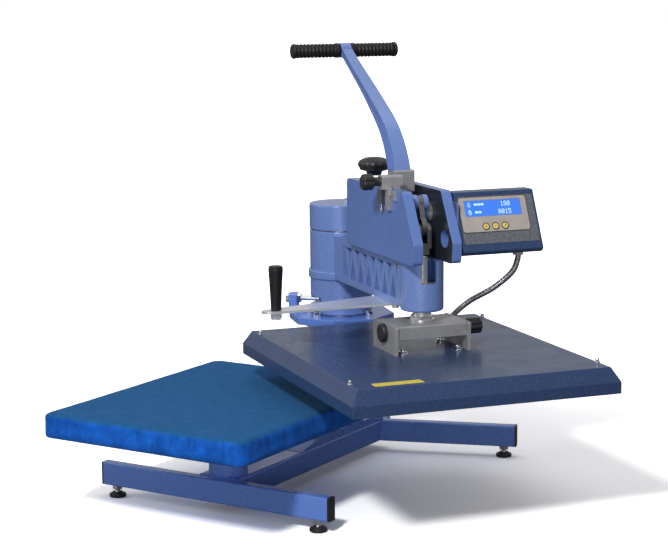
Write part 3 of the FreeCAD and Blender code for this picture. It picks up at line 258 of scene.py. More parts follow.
def metal(name, base, rough, along=(1, 1, 1), grain=900, relief=0.00002, stain=0.3, edge=0.0006,
          upper_shade=None, metallic=1.0):
    """Bare metal: brushed along one way, with stains and bright edges.
    upper_shade may give a height and the duller, darker colour of what lies above it: partly duller steel, partly
    painted shade inside the head."""
    s = Shader(name)
    lines = s.noise(grain, 3, 0.6, s.stretched(*along))
    dull = s.spread(s.noise(35, 4, 0.6), 0.3, 0.75)
    dark = tuple(c * (1 - stain) for c in base)
    colour = s.mix(s.sum("MULTIPLY", dull, 0.7), base, dark)
    colour = s.mix(s.spread(lines, 0.35, 0.65, 0.0, stain), colour, dark)
    colour = s.mix(s.sum("MULTIPLY", s.edges(edge), 0.5), colour, (0.93, 0.93, 0.94))
    shine = s.spread(s.sum("ADD", lines, s.sum("MULTIPLY", dull, 0.5)), 0.3, 1.1, rough * 0.75, rough * 1.3)
    # darker and rougher above the height: duller steel, darkened further as painted shade
    if upper_shade:
        high = s.above(upper_shade[0])
        colour = s.mix(high, colour, upper_shade[1])
        shine = s.sum("ADD", shine, s.sum("MULTIPLY", high, 0.25))
    normal = s.bump(lines, relief, 1.0, s.rounded(edge))
    return s.finish(Base_Color=colour, Metallic=metallic, Roughness=shine, Normal=normal)


def plastic(name, base, rough, grain=1800, relief=0.00004, edge=0.0006, gloss=0.5):
    """Moulded plastic or rubber: fine grain, handled patches, paler edges."""
    s = Shader(name)
    fine = s.noise(grain, 2, 0.5)
    handled = s.spread(s.noise(40, 3, 0.6), 0.35, 0.7)
    pale = tuple(min(1.0, c * 1.7 + 0.02) for c in base)
    colour = s.mix(s.sum("MULTIPLY", handled, 0.3), base, pale)
    colour = s.mix(s.sum("MULTIPLY", s.edges(edge), 0.5), colour, pale)
    normal = s.bump(fine, relief, 1.0, s.rounded(edge))
    shine = s.spread(handled, 0, 1, rough * 1.15, rough * 0.8)
    return s.finish(Base_Color=colour, Roughness=shine, Normal=normal, Specular_IOR_Level=gloss)


def velvet():
    """Bright blue napped cloth: short pile, brushed patches, a soft sheen, and painted light that sets the top
    apart from the sides.
    """
    s = Shader("blue_velvet")
    patches = s.noise(30, 6, 0.68)
    streaks = s.noise(60, 4, 0.6, s.stretched(1.0, 1.0, 0.35))
    nap = s.sum("ADD", s.sum("MULTIPLY", patches, 0.65), s.sum("MULTIPLY", streaks, 0.35))
    brushed = s.spread(nap, 0.40, 0.62)
    # painted light: top and sides get different shades for how light falls on them, a greyer sheen on top and a
    # brighter blue on the lit sides; the sides also get stronger brushing
    up = s.node("SeparateXYZ")
    s.put(up.inputs[0], s.node("TexCoord").outputs["Normal"])
    side = s.spread(s.sum("ABSOLUTE", up.outputs["Z"], 0.0), 0.85, 0.35)
    deep = s.mix(side, TOP_VELVET_SHEEN_DEEP, SIDE_VELVET_LIT_DEEP)
    light = s.mix(side, TOP_VELVET_SHEEN, SIDE_VELVET_LIT)
    colour = s.mix(s.sum("MULTIPLY", brushed, s.spread(side, 0, 1, 0.5, 0.9)), deep, light)
    fibre = s.noise(1500, 3, 0.7)
    colour = s.mix(s.spread(fibre, 0.35, 0.7, 0.0, 0.15), colour, VELVET_TIP)
    height = s.sum("ADD", s.sum("MULTIPLY", fibre, 0.6), s.noise(420, 3, 0.6))
    normal = s.bump(height, 0.0005, 0.7)
    return s.finish(Base_Color=colour, Roughness=0.92, Normal=normal, Sheen_Weight=0.18, Sheen_Roughness=0.35,
                    Sheen_Tint=(0.35, 0.6, 0.9), Specular_IOR_Level=0.1)


def panel_film():
    """Grey printed film with fine streaks."""
    s = Shader("panel_film")
    lines = s.noise(260, 2, 0.6, s.stretched(1, 1, 6))
    colour = s.mix(s.spread(lines, 0.35, 0.65), (0.055, 0.062, 0.080), (0.20, 0.21, 0.24))
    normal = s.bump(lines, 0.00005, 0.6)
    return s.finish(Base_Color=colour, Metallic=0.15, Roughness=0.42, Normal=normal)


def key_field():
    """Pale grey field round the display and keys."""
    s = Shader("key_field")
    cloudy = s.noise(70, 3, 0.6)
    colour = s.mix(s.spread(cloudy, 0.3, 0.7), (0.40, 0.36, 0.335), (0.47, 0.425, 0.395))
    normal = s.bump(s.noise(1500, 2), 0.00003, 0.8)
    return s.finish(Base_Color=colour, Metallic=0.1, Roughness=0.45, Normal=normal)


def lit(name, base, glow, strength):
    """A lit face with a fine dot pattern."""
    s = Shader(name)
    dots = s.noise(900, 2, 0.5)
    colour = s.mix(s.spread(dots, 0.3, 0.7, 0.0, 0.25), glow, base)
    return s.finish(Base_Color=colour, Roughness=0.15, Emission_Color=colour, Emission_Strength=strength,
                    Coat_Weight=0.15)


def key_yellow():
    s = Shader("key_yellow")
    cloudy = s.noise(500, 3, 0.6)
    colour = s.mix(s.spread(cloudy, 0.3, 0.7), (0.72, 0.50, 0.10), (0.86, 0.68, 0.24))
    return s.finish(Base_Color=colour, Roughness=0.3, Normal=s.bump(cloudy, 0.00003, 0.6), Coat_Weight=0.5)


def label_yellow():
    s = Shader("label_yellow")
    worn = s.noise(180, 4, 0.65)
    colour = s.mix(s.spread(worn, 0.45, 0.75), (0.83, 0.66, 0.02), (0.60, 0.50, 0.10))
    return s.finish(Base_Color=colour, Roughness=0.35, Normal=s.bump(worn, 0.00005, 0.5))


def foam():
    s = Shader("silicone_foam")
    pores = s.cells(700)
    colour = s.mix(s.spread(pores, 0.1, 0.7), (0.45, 0.20, 0.10), (0.75, 0.42, 0.25))
    return s.finish(Base_Color=colour, Roughness=0.85, Normal=s.bump(pores, 0.0003))


def mineral_board():
    s = Shader("mineral_board")
    fibre = s.noise(300, 5, 0.7, s.stretched(1, 4, 1))
    colour = s.mix(s.spread(fibre, 0.3, 0.7), (0.62, 0.58, 0.48), (0.85, 0.83, 0.76))
    return s.finish(Base_Color=colour, Roughness=0.95, Normal=s.bump(fibre, 0.0003))


def board_green():
    s = Shader("board_green")
    tracks = s.cells(420, 0.1)
    colour = s.mix(s.spread(tracks, 0.35, 0.45), (0.02, 0.16, 0.07), (0.05, 0.30, 0.14))
    return s.finish(Base_Color=colour, Roughness=0.4, Normal=s.bump(tracks, 0.0001))


# velvet painted in two lightings: greyer with sheen on the top, brighter blue on the lit sides
TOP_VELVET_SHEEN_DEEP = (0.010, 0.085, 0.24)
TOP_VELVET_SHEEN = (0.020, 0.125, 0.33)
SIDE_VELVET_LIT_DEEP = (0.003, 0.060, 0.33)
SIDE_VELVET_LIT = (0.010, 0.130, 0.66)
VELVET_TIP = (0.04, 0.24, 0.50)
ENAMEL = (0.125, 0.250, 0.72)
ENAMEL_DEEP = (0.105, 0.215, 0.64)
ENAMEL_LIGHT = (0.30, 0.42, 0.75)
CASTING = (0.140, 0.230, 0.54)
CASTING_DEEP = (0.120, 0.200, 0.49)
CHEEK = (0.110, 0.200, 0.52)
CHEEK_DEEP = (0.095, 0.175, 0.47)
# painted shade for the cheeks' inner faces, inside the head
INNER_SHADE = (0.022, 0.026, 0.034)
NAVY = (0.017, 0.040, 0.115)
NAVY_DEEP = (0.012, 0.030, 0.092)
NAVY_LIGHT = (0.14, 0.21, 0.38)
DARK_STEEL = (0.24, 0.24, 0.245)
RAM_SHADE_LEVEL = head_box("conduit")[1].z * MM       # the ram is darker above the conduit's top: duller steel and painted shade of the head's inside

MATERIALS = {
    "blue_frame": hammered("blue_hammered", ENAMEL, ENAMEL_DEEP, ENAMEL_LIGHT, 0.0022, 0.00010, 0.12),
    "blue_cast": hammered("blue_cast_hammered", CASTING, CASTING_DEEP, ENAMEL_LIGHT, 0.0026, 0.00016, 0.20),
    "cheek_paint": hammered("cheek_enamel", CHEEK, CHEEK_DEEP, ENAMEL_LIGHT, 0.0022, 0.00008, 0.10,
                            INNER_SHADE),
    "navy_hood": hammered("navy_hammered", NAVY, NAVY_DEEP, NAVY_LIGHT, 0.0018, 0.00008, 0.20, gloss=0.17),
    "chrome": metal("bright_chrome", (0.80, 0.80, 0.81), 0.10, stain=0.15),
    "ram": metal("ram_steel", (0.80, 0.80, 0.81), 0.12, stain=0.15, upper_shade=(RAM_SHADE_LEVEL, DARK_STEEL)),
    "steel": metal("brushed_steel", (0.42, 0.42, 0.43), 0.30, (1, 1, 6)),
    "dark_steel": metal("dark_steel", DARK_STEEL, 0.42, stain=0.4),
    "bright_bar": metal("polished_bar", (0.84, 0.86, 0.90), 0.30, (1, 9, 1), stain=0.12, edge=0.0003,
                        metallic=0.7),
    "raw_aluminium": metal("machined_aluminium", (0.50, 0.50, 0.50), 0.44, (1, 1, 1), 650, 0.00014, 0.5,
                           metallic=0.5),
    "black_plastic": plastic("black_plastic", (0.011, 0.011, 0.012), 0.42),
    "black_grip": plastic("black_grip", (0.006, 0.006, 0.007), 0.45, 1200, 0.00006, gloss=0.28),
    "rubber_black": plastic("black_rubber", (0.010, 0.010, 0.011), 0.6, 900, 0.00008),
    "bronze": metal("bronze", (0.55, 0.38, 0.16), 0.3, (1, 1, 8)),
    "blue_cloth": velvet(),
    "foam": foam(),
    "insulation": mineral_board(),
    "panel_grey": panel_film(),
    "display": lit("display_blue", (0.015, 0.07, 0.45), (0.03, 0.16, 0.66), 0.62),
    "button_yellow": key_yellow(),
    "board": board_green(),
    "heater_steel": metal("heater_steel", (0.33, 0.32, 0.31), 0.4),
    "flex_metal": metal("flex_metal", (0.42, 0.42, 0.42), 0.28, stain=0.35),
}
DISPLAY_INK = lit("display_ink", (0.40, 0.60, 0.85), (0.55, 0.80, 1.0), 0.8)
KEY_FIELD = key_field()
LABEL_YELLOW = label_yellow()
# the cheeks' finish paints shade on their inner faces; the toggle link's darker steel is partly painted shade
# inside the head
OVERRIDES = {"cheek_left": "cheek_paint", "cheek_right": "cheek_paint", "cheek_brackets": "cheek_paint",
             "ram_shaft": "ram", "toggle_link": "dark_steel"}


def paint_frame():
    """Every CAD node gets the finish of its record slot."""
    for row in frame["record"]["subparts"]:
        node = frame["nodes"][row["node"]]
        finish = MATERIALS[OVERRIDES.get(row["node"], row["material_slot"])]
        node.data.materials.clear()
        node.data.materials.append(finish)


# ---- mesh helpers -------------------------------------------------------------------
def piece(name, points, faces, material, body, smooth=40):
    """A mesh object that rides on a CAD body; edges over `smooth` degrees stay sharp."""
    mesh = bpy.data.meshes.new(name)
    mesh.from_pydata([tuple(p) for p in points], [], faces)
    mesh.validate()
    mesh.polygons.foreach_set("use_smooth", [True] * len(mesh.polygons))
    mesh.set_sharp_from_angle(angle=math.radians(smooth))
    mesh.materials.append(material)
    made = bpy.data.objects.new(name, mesh)
    bpy.context.scene.collection.objects.link(made)
    if body:
        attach(made, body)
    return made


def basis(axis):
    """Two directions square to an axis."""
    a = axis.normalized()
    side = a.orthogonal().normalized()
    return side, a.cross(side)


def lathe(stations, axis, start, count, shape=None):
    """Rings round an axis. stations are (distance, radius) in millimetres, and shape may
    scale a ring's radius from (angle, distance).  The ends are closed."""
    u, v = basis(axis)
    points, faces = [], []
    for along, radius in stations:
        for k in range(count):
            a = 2 * math.pi * k / count
            r = radius * (shape(a, along) if shape else 1.0)
            points.append(start + (axis * along + (u * math.cos(a) + v * math.sin(a)) * r) * MM)
    for i in range(len(stations) - 1):
        for k in range(count):
            n = (k + 1) % count
            faces.append((i * count + k, i * count + n, (i + 1) * count + n, (i + 1) * count + k))
    last = (len(stations) - 1) * count
    faces.append(tuple(range(count - 1, -1, -1)))
    faces.append(tuple(range(last, last + count)))
    return points, faces


def round_bar(length, radius, edge, steps=5):
    """Stations of a bar whose two ends have rounded edges."""
    near = []
    for k in range(steps + 1):
        a = math.pi / 2 * k / steps
        near.append((edge - edge * math.cos(a), radius - edge + edge * math.sin(a)))
    return near + [(length - along, r) for along, r in reversed(near)]


def baked(made):
    """The object's own modifiers applied to its mesh."""
    view = bpy.context.evaluated_depsgraph_get()
    view.update()
    mesh = bpy.data.meshes.new_from_object(made.evaluated_get(view))
    made.modifiers.clear()
    made.data = mesh
    return made


def merged(*parts):
    """Join several (points, faces) into one."""
    points, faces = [], []
    for p, f in parts:
        faces += [tuple(i + len(points) for i in face) for face in f]
        points += p
    return points, faces


def tube_along(centres, radius_at, count):
    """A closed tube round a line of centres; radius_at gives millimetres from the length run."""
    points, faces = [], []
    run, side = 0.0, None
    for i, c in enumerate(centres):
        ahead = (centres[min(i + 1, len(centres) - 1)] - centres[max(i - 1, 0)]).normalized()
        side = (side - ahead * side.dot(ahead)).normalized() if side else basis(ahead)[0]
        other = ahead.cross(side)
        run += (c - centres[i - 1]).length / MM if i else 0.0
        for k in range(count):
            a = 2 * math.pi * k / count
            points.append(c + (side * math.cos(a) + other * math.sin(a)) * radius_at(run) * MM)
    for i in range(len(centres) - 1):
        for k in range(count):
            n = (k + 1) % count
            faces.append((i * count + k, i * count + n, (i + 1) * count + n, (i + 1) * count + k))
    last = (len(centres) - 1) * count
    faces.append(tuple(range(count - 1, -1, -1)))
    faces.append(tuple(range(last, last + count)))
    return points, faces


def smooth_line(knots, step):
    """A Catmull-Rom curve through the knots, in points `step` metres apart."""
    dense = []
    ends = [knots[0] * 2 - knots[1]] + knots + [knots[-1] * 2 - knots[-2]]
    for a, b, c, d in zip(ends, ends[1:], ends[2:], ends[3:]):
        for k in range(60):
            t = k / 60
            dense.append(0.5 * (2 * b + (c - a) * t + (2 * a - 5 * b + 4 * c - d) * t * t
                                + (3 * b - a - 3 * c + d) * t ** 3))
    dense.append(knots[-1])
    out, left = [dense[0]], step
    for a, b in zip(dense, dense[1:]):
        size = (b - a).length
        while size >= left:
            a = a + (b - a) * (left / size)
            out.append(a)
            size -= left
            left = step
        left -= size
    return out


def rounded_outline(width, height, radius, steps=6):
    """Corner-rounded rectangle, centred, anticlockwise."""
    out = []
    for cx, cy, first in ((1, 1, 0), (-1, 1, 90), (-1, -1, 180), (1, -1, 270)):
        for k in range(steps + 1):
            a = math.radians(first + 90 * k / steps)
            out.append((cx * (width / 2 - radius) + radius * math.cos(a),
                        cy * (height / 2 - radius) + radius * math.sin(a)))
    return out


def slab(outline, place, z0, z1, chamfer=0.0):
    """A plate from an outline; place turns (x, y, z) into a point; its top edge is chamfered."""
    n = len(outline)
    rings = [(z0, 0.0), (z1 - chamfer, 0.0), (z1, chamfer)] if chamfer else [(z0, 0.0), (z1, 0.0)]
    cx = sum(p[0] for p in outline) / n
    cy = sum(p[1] for p in outline) / n
    points, faces = [], []
    for z, inset in rings:
        for x, y in outline:
            reach = math.hypot(x - cx, y - cy)
            keep = 1 - inset / reach
            points.append(place(cx + (x - cx) * keep, cy + (y - cy) * keep, z))
    for i in range(len(rings) - 1):
        for k in range(n):
            m = (k + 1) % n
            faces.append((i * n + k, i * n + m, (i + 1) * n + m, (i + 1) * n + k))
    last = (len(rings) - 1) * n
    faces.append(tuple(range(n - 1, -1, -1)))
    faces.append(tuple(range(last, last + n)))
    return points, faces


def ring_slab(outer, inner, place, z0, z1):
    """A plate between two outlines that have the same number of points."""
    n = len(outer)
    points = [place(x, y, z) for z in (z0, z1) for loop in (outer, inner) for x, y in loop]
    faces = []
    for k in range(n):
        m = (k + 1) % n
        faces.append((k, m, 2 * n + m, 2 * n + k))
        faces.append((n + m, n + k, 3 * n + k, 3 * n + m))
        faces.append((2 * n + k, 2 * n + m, 3 * n + m, 3 * n + k))
        faces.append((m, k, n + k, n + m))
    return points, faces


# ---- table cover and pad -------------------------------------------------------------
SIM_FRAMES = 18
VOXEL = 0.005
CLOTH = 0.0013                   # cloth thickness
COVER_CORNER, COVER_RIM = 0.018, 0.0045
COVER_PRESSURE, COVER_SWELL = 3.0, 0.0013
MOUTH_INSET, MOUTH_LIP = 0.042, 0.0018
STITCH_INSET, STITCH_PITCH = 0.034, 0.007


def block(name, low, high, upright, rim):
    """A box with rounded upright edges and a softened rim, as one mesh."""
    made = bmesh.new()
    bmesh.ops.create_cube(made, size=1.0)
    size, middle = high - low, (high + low) / 2
    for v in made.verts:
        v.co = Vector(a * b for a, b in zip(v.co, size)) + middle
    tall = [e for e in made.edges if abs((e.verts[0].co - e.verts[1].co).normalized().z) > 0.9]
    bmesh.ops.bevel(made, geom=tall, offset=upright, segments=6, profile=0.5, affect="EDGES")
    flat = [e for e in made.edges if abs(e.verts[0].co.z - e.verts[1].co.z) < 1e-6]
    bmesh.ops.bevel(made, geom=flat, offset=rim, segments=4, profile=0.5, affect="EDGES")
    mesh = bpy.data.meshes.new(name)
    made.to_mesh(mesh)
    made.free()
    out = bpy.data.objects.new(name, mesh)
    bpy.context.scene.collection.objects.link(out)
    return out


def remeshed(made, voxel):
    cut = made.modifiers.new("voxels", "REMESH")
    cut.mode = "VOXEL"
    cut.voxel_size = voxel
    return baked(made)


def inflate(made, held, pressure, cap):
    """Short cloth simulation: the sheet swells by pressure, at most `cap` metres a point."""
    rest = [v.co.copy() for v in made.data.vertices]
    pins = made.vertex_groups.new(name="held")
    pins.add([i for i, p in enumerate(rest) if held(p)], 1.0, "REPLACE")
    cloth = made.modifiers.new("cloth", "CLOTH")
    cloth.settings.quality = 4
    cloth.settings.use_pressure = True
    cloth.settings.uniform_pressure_force = pressure
    cloth.settings.effector_weights.gravity = 0
    cloth.settings.vertex_group_mass = "held"
    cloth.settings.tension_stiffness = 20
    cloth.settings.bending_stiffness = 2
    cloth.point_cache.frame_end = SIM_FRAMES
    for step in range(1, SIM_FRAMES + 1):
        bpy.context.scene.frame_set(step)
    view = bpy.context.evaluated_depsgraph_get()
    moved = [v.co.copy() for v in made.evaluated_get(view).data.vertices]
    made.modifiers.clear()
    made.vertex_groups.clear()
    for v, a, b in zip(made.data.vertices, rest, moved):
        shift = b - a
        v.co = a + shift * min(1.0, cap / max(shift.length, 1e-9))
    bpy.context.scene.frame_set(1)


def cover_creases(made, low, high):
    """Pulled corners, drawn-in sides and the small unevenness of stretched cloth."""
    middle, half = (low + high) / 2, (high - low) / 2
    for v in made.data.vertices:
        x, y, z = (v.co - middle)
        near_x, near_y = half.x - abs(x), half.y - abs(y)
        on_side = max(0.0, 1 - min(near_x, near_y) / 0.012)
        corner = max(0.0, 1 - math.hypot(max(near_x, 0), max(near_y, 0)) / 0.09)
        depth = (half.z - z) / (2 * half.z)
        out = Vector((x / half.x if near_x < near_y else 0.0, y / half.y if near_y <= near_x else 0.0, 0))
        run = y if near_x < near_y else x
        fold = math.sin(run * 330 + depth * 2.2) * math.exp(-((depth - 0.75) / 0.35) ** 2)
        soft = noise.noise(v.co * 28) * 0.0004 + noise.noise(v.co * 75) * 0.0002
        v.co += out * on_side * (soft + corner * fold * 0.0009)
        top = max(0.0, 1 - depth * 6)
        v.co.z += top * (noise.noise(Vector((v.co.x, v.co.y, 0)) * 14) - 0.55) * 0.0006
        v.co.z = min(v.co.z, high.z - 0.0001)


def open_underside(made, low, high, margin, lip):
    """Cut the cloth's mouth in the underside and turn its gathered edge up."""
    work = bmesh.new()
    work.from_mesh(made.data)
    doomed = [f for f in work.faces if f.normal.z < -0.7
              and low.x + margin < f.calc_center_median().x < high.x - margin
              and low.y + margin < f.calc_center_median().y < high.y - margin]
    bmesh.ops.delete(work, geom=doomed, context="FACES")
    rim = [e for e in work.edges if e.is_boundary]
    made_edges = bmesh.ops.extrude_edge_only(work, edges=rim)["geom"]
    for v in made_edges:
        if isinstance(v, bmesh.types.BMVert):
            run = v.co.x + v.co.y
            v.co.z += lip + math.sin(run * 420) * 0.0004
    bmesh.ops.recalc_face_normals(work, faces=work.faces)
    work.to_mesh(made.data)
    work.free()


def table_cover():
    low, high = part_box("table_cover")
    shrink = Vector((0.0014, 0.0014, 0.0))
    made = block("table_cover_cloth", low + shrink, high - shrink - Z * 0.0006, COVER_CORNER, COVER_RIM)
    remeshed(made, VOXEL)
    inflate(made, lambda p: p.z < low.z + 0.004, COVER_PRESSURE, COVER_SWELL)
    cover_creases(made, low, high)
    open_underside(made, low, high, MOUTH_INSET, MOUTH_LIP)
    thick = made.modifiers.new("cloth", "SOLIDIFY")
    thick.thickness = CLOTH
    thick.offset = -1
    made.modifiers.new("soft", "SUBSURF").levels = 1
    baked(made)
    made.data.polygons.foreach_set("use_smooth", [True] * len(made.data.polygons))
    made.data.materials.clear()
    made.data.materials.append(MATERIALS["blue_cloth"])
    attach(made, "table")
    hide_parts("table_cover")


def table_pad():
    low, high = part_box("table_pad")
    inset = Vector((0.001, 0.001, 0.0005))
    made = block("table_foam_pad", low + inset, high - inset, 0.012, 0.003)
    made.modifiers.new("soft", "SUBSURF").levels = 1
    baked(made)
    made.data.polygons.foreach_set("use_smooth", [True] * len(made.data.polygons))
    made.data.materials.append(MATERIALS["foam"])
    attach(made, "table")
    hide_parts("table_pad")


def hem_stitches():
    """A row of stitches round the cover's underside, just outside its mouth."""
    low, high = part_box("table_cover")
    width, depth = high.x - low.x - 2 * STITCH_INSET, high.y - low.y - 2 * STITCH_INSET
    loop = rounded_outline(width, depth, 0.012, 5)
    line = [Vector((x, y, low.z + 0.0002)) for x, y in loop + loop[:1]]
    marks = []
    left = 0.0
    for a, b in zip(line, line[1:]):
        size, way = (b - a).length, (b - a).normalized()
        while left < size:
            start = a + way * left
            marks.append(lathe(round_bar(4.4, 0.45, 0.3, 2), way, start, 6))
            left += STITCH_PITCH
        left -= size
    points, faces = merged(*marks)
    made = piece("table_cover_stitches", points, faces, MATERIALS["blue_cloth"], "table")


# ---- knobs, grips and feet ------------------------------------------------------------
def lobes(count, depth, sharp):
    """Finger notches: a ring's radius dips `count` times a turn."""
    return lambda a, along: 1 - depth * (0.5 - 0.5 * math.cos(count * a)) ** sharp


def thread(radius, pitch, depth):
    """A helical screw thread cut into a bar of this radius."""
    def shape(a, along):
        turn_share = (along / pitch - a / (2 * math.pi)) % 1.0
        return 1 - depth / radius * abs(2 * turn_share - 1)
    return shape


THREAD_DEPTH = 0.55


def screw_thread(start, axis, radius, length, pitch=1.5, count=20):
    steps = int(length / pitch * 6)
    stations = [(length * k / steps, radius) for k in range(steps + 1)]
    return lathe(stations, axis, start, count, thread(radius, pitch, THREAD_DEPTH))


def pressure_knob():
    low, high = head_box("pressure_knob")
    x, y = (low.x + high.x) / 2, (low.y + high.y) / 2
    top, reach = high.z, (high.x - low.x) / 2
    profile = [(0.0, reach * 0.42), (7.0, reach * 0.50), (8.5, reach * 0.72), (10.5, reach * 0.90)]
    for k in range(9):
        a = math.radians(-50 + 100 * k / 8)
        profile.append((19.5 + 8.0 * math.sin(a), reach * (0.72 + 0.28 * math.cos(a))))
    tall, skirt = 31.0, 8.6
    base = top - tall
    profile += [(30.0, reach * 0.60), (31.0, reach * 0.42), (30.4, reach * 0.34), (30.2, reach * 0.10)]
    scallops = lobes(10, 0.055, 2)
    cap = lathe(profile, Z, at(x, y, base), 120, lambda a, s: scallops(a, s) if s > skirt else 1.0)
    made = piece("pressure_knob_cap", *cap, MATERIALS["black_plastic"], "pressure_knob", 60)
    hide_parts("pressure_knob")
    screw = merged(screw_thread(at(x, y, low.z), Z, 7.0, 33.2, 2.0, 24),
                   lathe(round_bar(4.4, 12.0, 0.8), Z, at(x, y, low.z + 33.4), 40),
                   lathe(round_bar(17.0, 6.9, 0.6), Z, at(x, y, low.z + 36.0), 32))
    rod = piece("pressure_screw_thread", *screw, MATERIALS["steel"], "pressure_knob")


KNOB_EDGE, KNOB_NOTCH = 3.2, 0.15


def knob(name, node, axis, start, length, radius, neck, count):
    """A notched hand knob with a waisted neck behind it. neck is (length, radius)."""
    head = lathe(round_bar(length, radius, KNOB_EDGE, 6), axis, start, 96, lobes(count, KNOB_NOTCH, 3))
    dimple = lathe([(-0.6, radius * 0.45), (-0.6, radius * 0.5), (0.4, radius * 0.56)], axis, start, 40)
    stem = lathe([(0, neck[1]), (neck[0] * 0.25, neck[1] * 0.86), (neck[0] * 0.8, neck[1] * 0.86),
                  (neck[0], neck[1])], axis, start + axis * length * MM, 40)
    made = piece(name, *merged(head, dimple, stem), MATERIALS["black_plastic"], node, 50)
    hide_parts(node)


def lock_knob():
    low, high = head_box("lock_knob")
    y, z = (low.y + high.y) / 2, (low.z + high.z) / 2
    knob("lever_lock_knob", "lock_knob", HEAD_X, at(low.x, y, z), 19.0, 13.5, (12.5, 8.5), 6)
    rod = screw_thread(at(low.x + 31.0, y, z), HEAD_X, 4.0, high.x - low.x - 32.0)
    tip = lathe(round_bar(1.4, 3.2, 0.5, 3), HEAD_X, at(high.x - 1.4, y, z), 24)
    made = piece("lever_lock_screw", *merged(rod, tip), MATERIALS["chrome"], "lock_knob")


def float_knob():
    low, high = head_box("float_knob")
    y, z = (low.y + high.y) / 2, (low.z + high.z) / 2
    length = 23.0
    knob("float_lock_knob", "float_knob", -HEAD_X, at(high.x, y, z),
         length, 13.5, (high.x - low.x - length, 10.0), 8)


def swing_grip():
    """Tapered hand grip with soft flutes and a domed top."""
    low, high = head_box("swing_grip")
    x, y = (low.x + high.x) / 2, (low.y + high.y) / 2
    tall = high.z - low.z
    profile = [(0.0, 7.6), (0.6, 8.4), (2.0, 8.8)]
    for k in range(1, 13):
        share = k / 12
        profile.append((2.0 + (tall - 8.0) * share, 8.8 + 3.4 * share ** 1.25))
    profile += [(tall - 4.5, 12.0), (tall - 3.8, 11.2), (tall - 2.6, 11.9), (tall - 1.2, 11.4),
                (tall - 0.4, 9.8), (tall, 7.4)]

    def flutes(a, s):
        inside = min(1.0, max(0.0, (s - 3.0) / 5.0)) * min(1.0, max(0.0, (tall - 7.0 - s) / 5.0))
        return 1 - 0.07 * inside * (0.5 - 0.5 * math.cos(8 * a)) ** 2

    made = piece("swing_hand_grip", *lathe(profile, Z, at(x, y, low.z), 96, flutes),
                 MATERIALS["black_grip"], "swing_grip", 50)
    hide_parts("swing_grip")


def bar_grips():
    """The T bar's two grips: raised rings with rows of nubs between end flanges."""
    low, high = head_box("lever_grips")
    y, z = (low.y + high.y) / 2, (low.z + high.z) / 2
    radius = (high.z - low.z) / 2
    inner = min(abs((HEAD.inverted() @ v.co).x) for v in frame["nodes"]["lever_grips"].data.vertices) / MM
    length = high.x - inner
    pitch = 7.0
    stations = [(0.0, radius - 3.4), (0.3, radius - 2.0), (1.4, radius - 0.6), (3.0, radius), (6.0, radius),
                (7.0, radius - 1.0)]
    steps = int((length - 14.0) / pitch * 8)
    stations += [(7.2 + (length - 14.4) * k / steps, radius) for k in range(steps + 1)]
    stations += [(length - 7.0, radius - 1.0), (length - 6.0, radius), (length - 2.0, radius),
                 (length - 0.6, radius - 0.6), (length, radius - 1.8)]

    def ribs(a, s):
        if s < 7.1 or s > length - 7.1:
            return 1.0
        ring = 0.5 - 0.5 * math.cos(2 * math.pi * (s - 7.1) / pitch)
        nub = 0.5 - 0.5 * math.cos(20 * a)
        return 1 - (0.15 - 0.11 * ring ** 0.6) - 0.035 * nub * (1 - ring)

    for side, name in ((-1, "left"), (1, "right")):
        grip = lathe(stations, HEAD_X * -side, at(side * high.x, y, z), 80, ribs)
        made = piece("bar_grip_" + name, *grip, MATERIALS["black_grip"], "lever", 55)
        if side < 0:
            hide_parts("lever_grips")


def feet():
    """Rubber pads on threaded chrome studs."""
    for name in ("front_left", "front_right", "rear_left", "rear_right"):
        node = "foot_" + name
        low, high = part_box(node)
        centre = (low + high) / 2
        start = Vector((centre.x, centre.y, low.z))
        reach = (high.x - low.x) / 2 / MM
        pad = lathe([(0.0, reach - 1.5), (0.5, reach - 0.6), (1.6, reach), (4.6, reach), (5.6, reach - 0.5),
                     (6.0, reach - 2.0), (7.0, reach * 0.66), (9.0, reach * 0.6), (9.2, 5.2)], Z, start, 56)
        made = piece(node + "_pad", *pad, MATERIALS["rubber_black"], node, 50)
        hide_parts(node)
        stud = screw_thread(start + Z * 0.009, Z, 4.95, (high.z - low.z) / MM - 9.0)
        rod = piece(node + "_stud", *stud, MATERIALS["chrome"], node)


# ---- conduit ---------------------------------------------------------------------------
# Bends: share of the way across to the platen, millimetres back, share of the way down.
CONDUIT_BENDS = ((0.05, 14, 0.26), (0.28, 46, 0.48), (0.62, 77, 0.66), (0.91, 93, 0.84))
CONDUIT_RADIUS, RIPPLE_DEPTH, RIPPLE = 4.9, 0.45, 3.2


def conduit():
    """Corrugated metal conduit that hangs from the controller to the platen."""
    low, high = head_box("conduit")
    top_low, top_high = head_box("conduit_gland")
    x, y = (top_low.x + top_high.x) / 2, (top_low.y + top_high.y) / 2
    foot = [HEAD.inverted() @ v.co / MM for v in frame["nodes"]["conduit"].data.vertices]
    foot = [p for p in foot if p.z < low.z + 1.0]
    end_x, end_y = (sum(p[i] for p in foot) / len(foot) for i in range(2))
    drop, out = high.z - low.z, x - end_x
    knots = [at(x, y, high.z + 1.0), at(x, y + 0.5, high.z - 0.08 * drop)]
    knots += [at(x - share * out, y + back, high.z - fall * drop) for share, back, fall in CONDUIT_BENDS]
    knots += [at(end_x, end_y, low.z + 6.0), at(end_x, end_y, low.z - 4.6)]
    line = smooth_line(knots, RIPPLE / 6 * MM)

    def ripples(run):
        return CONDUIT_RADIUS + RIPPLE_DEPTH * math.cos(2 * math.pi * run / RIPPLE)

    points, faces = tube_along(line, ripples, 28)
    made = piece("conduit_flex", points, faces, MATERIALS["flex_metal"], None, 70)
    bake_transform(made)
    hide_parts("conduit")
    liner = lathe(round_bar(12.0, 2.4, 0.5), -Z, at(end_x, end_y, low.z - 2.6), 20)
    core = piece("conduit_liner", *liner, MATERIALS["black_plastic"], "ram")


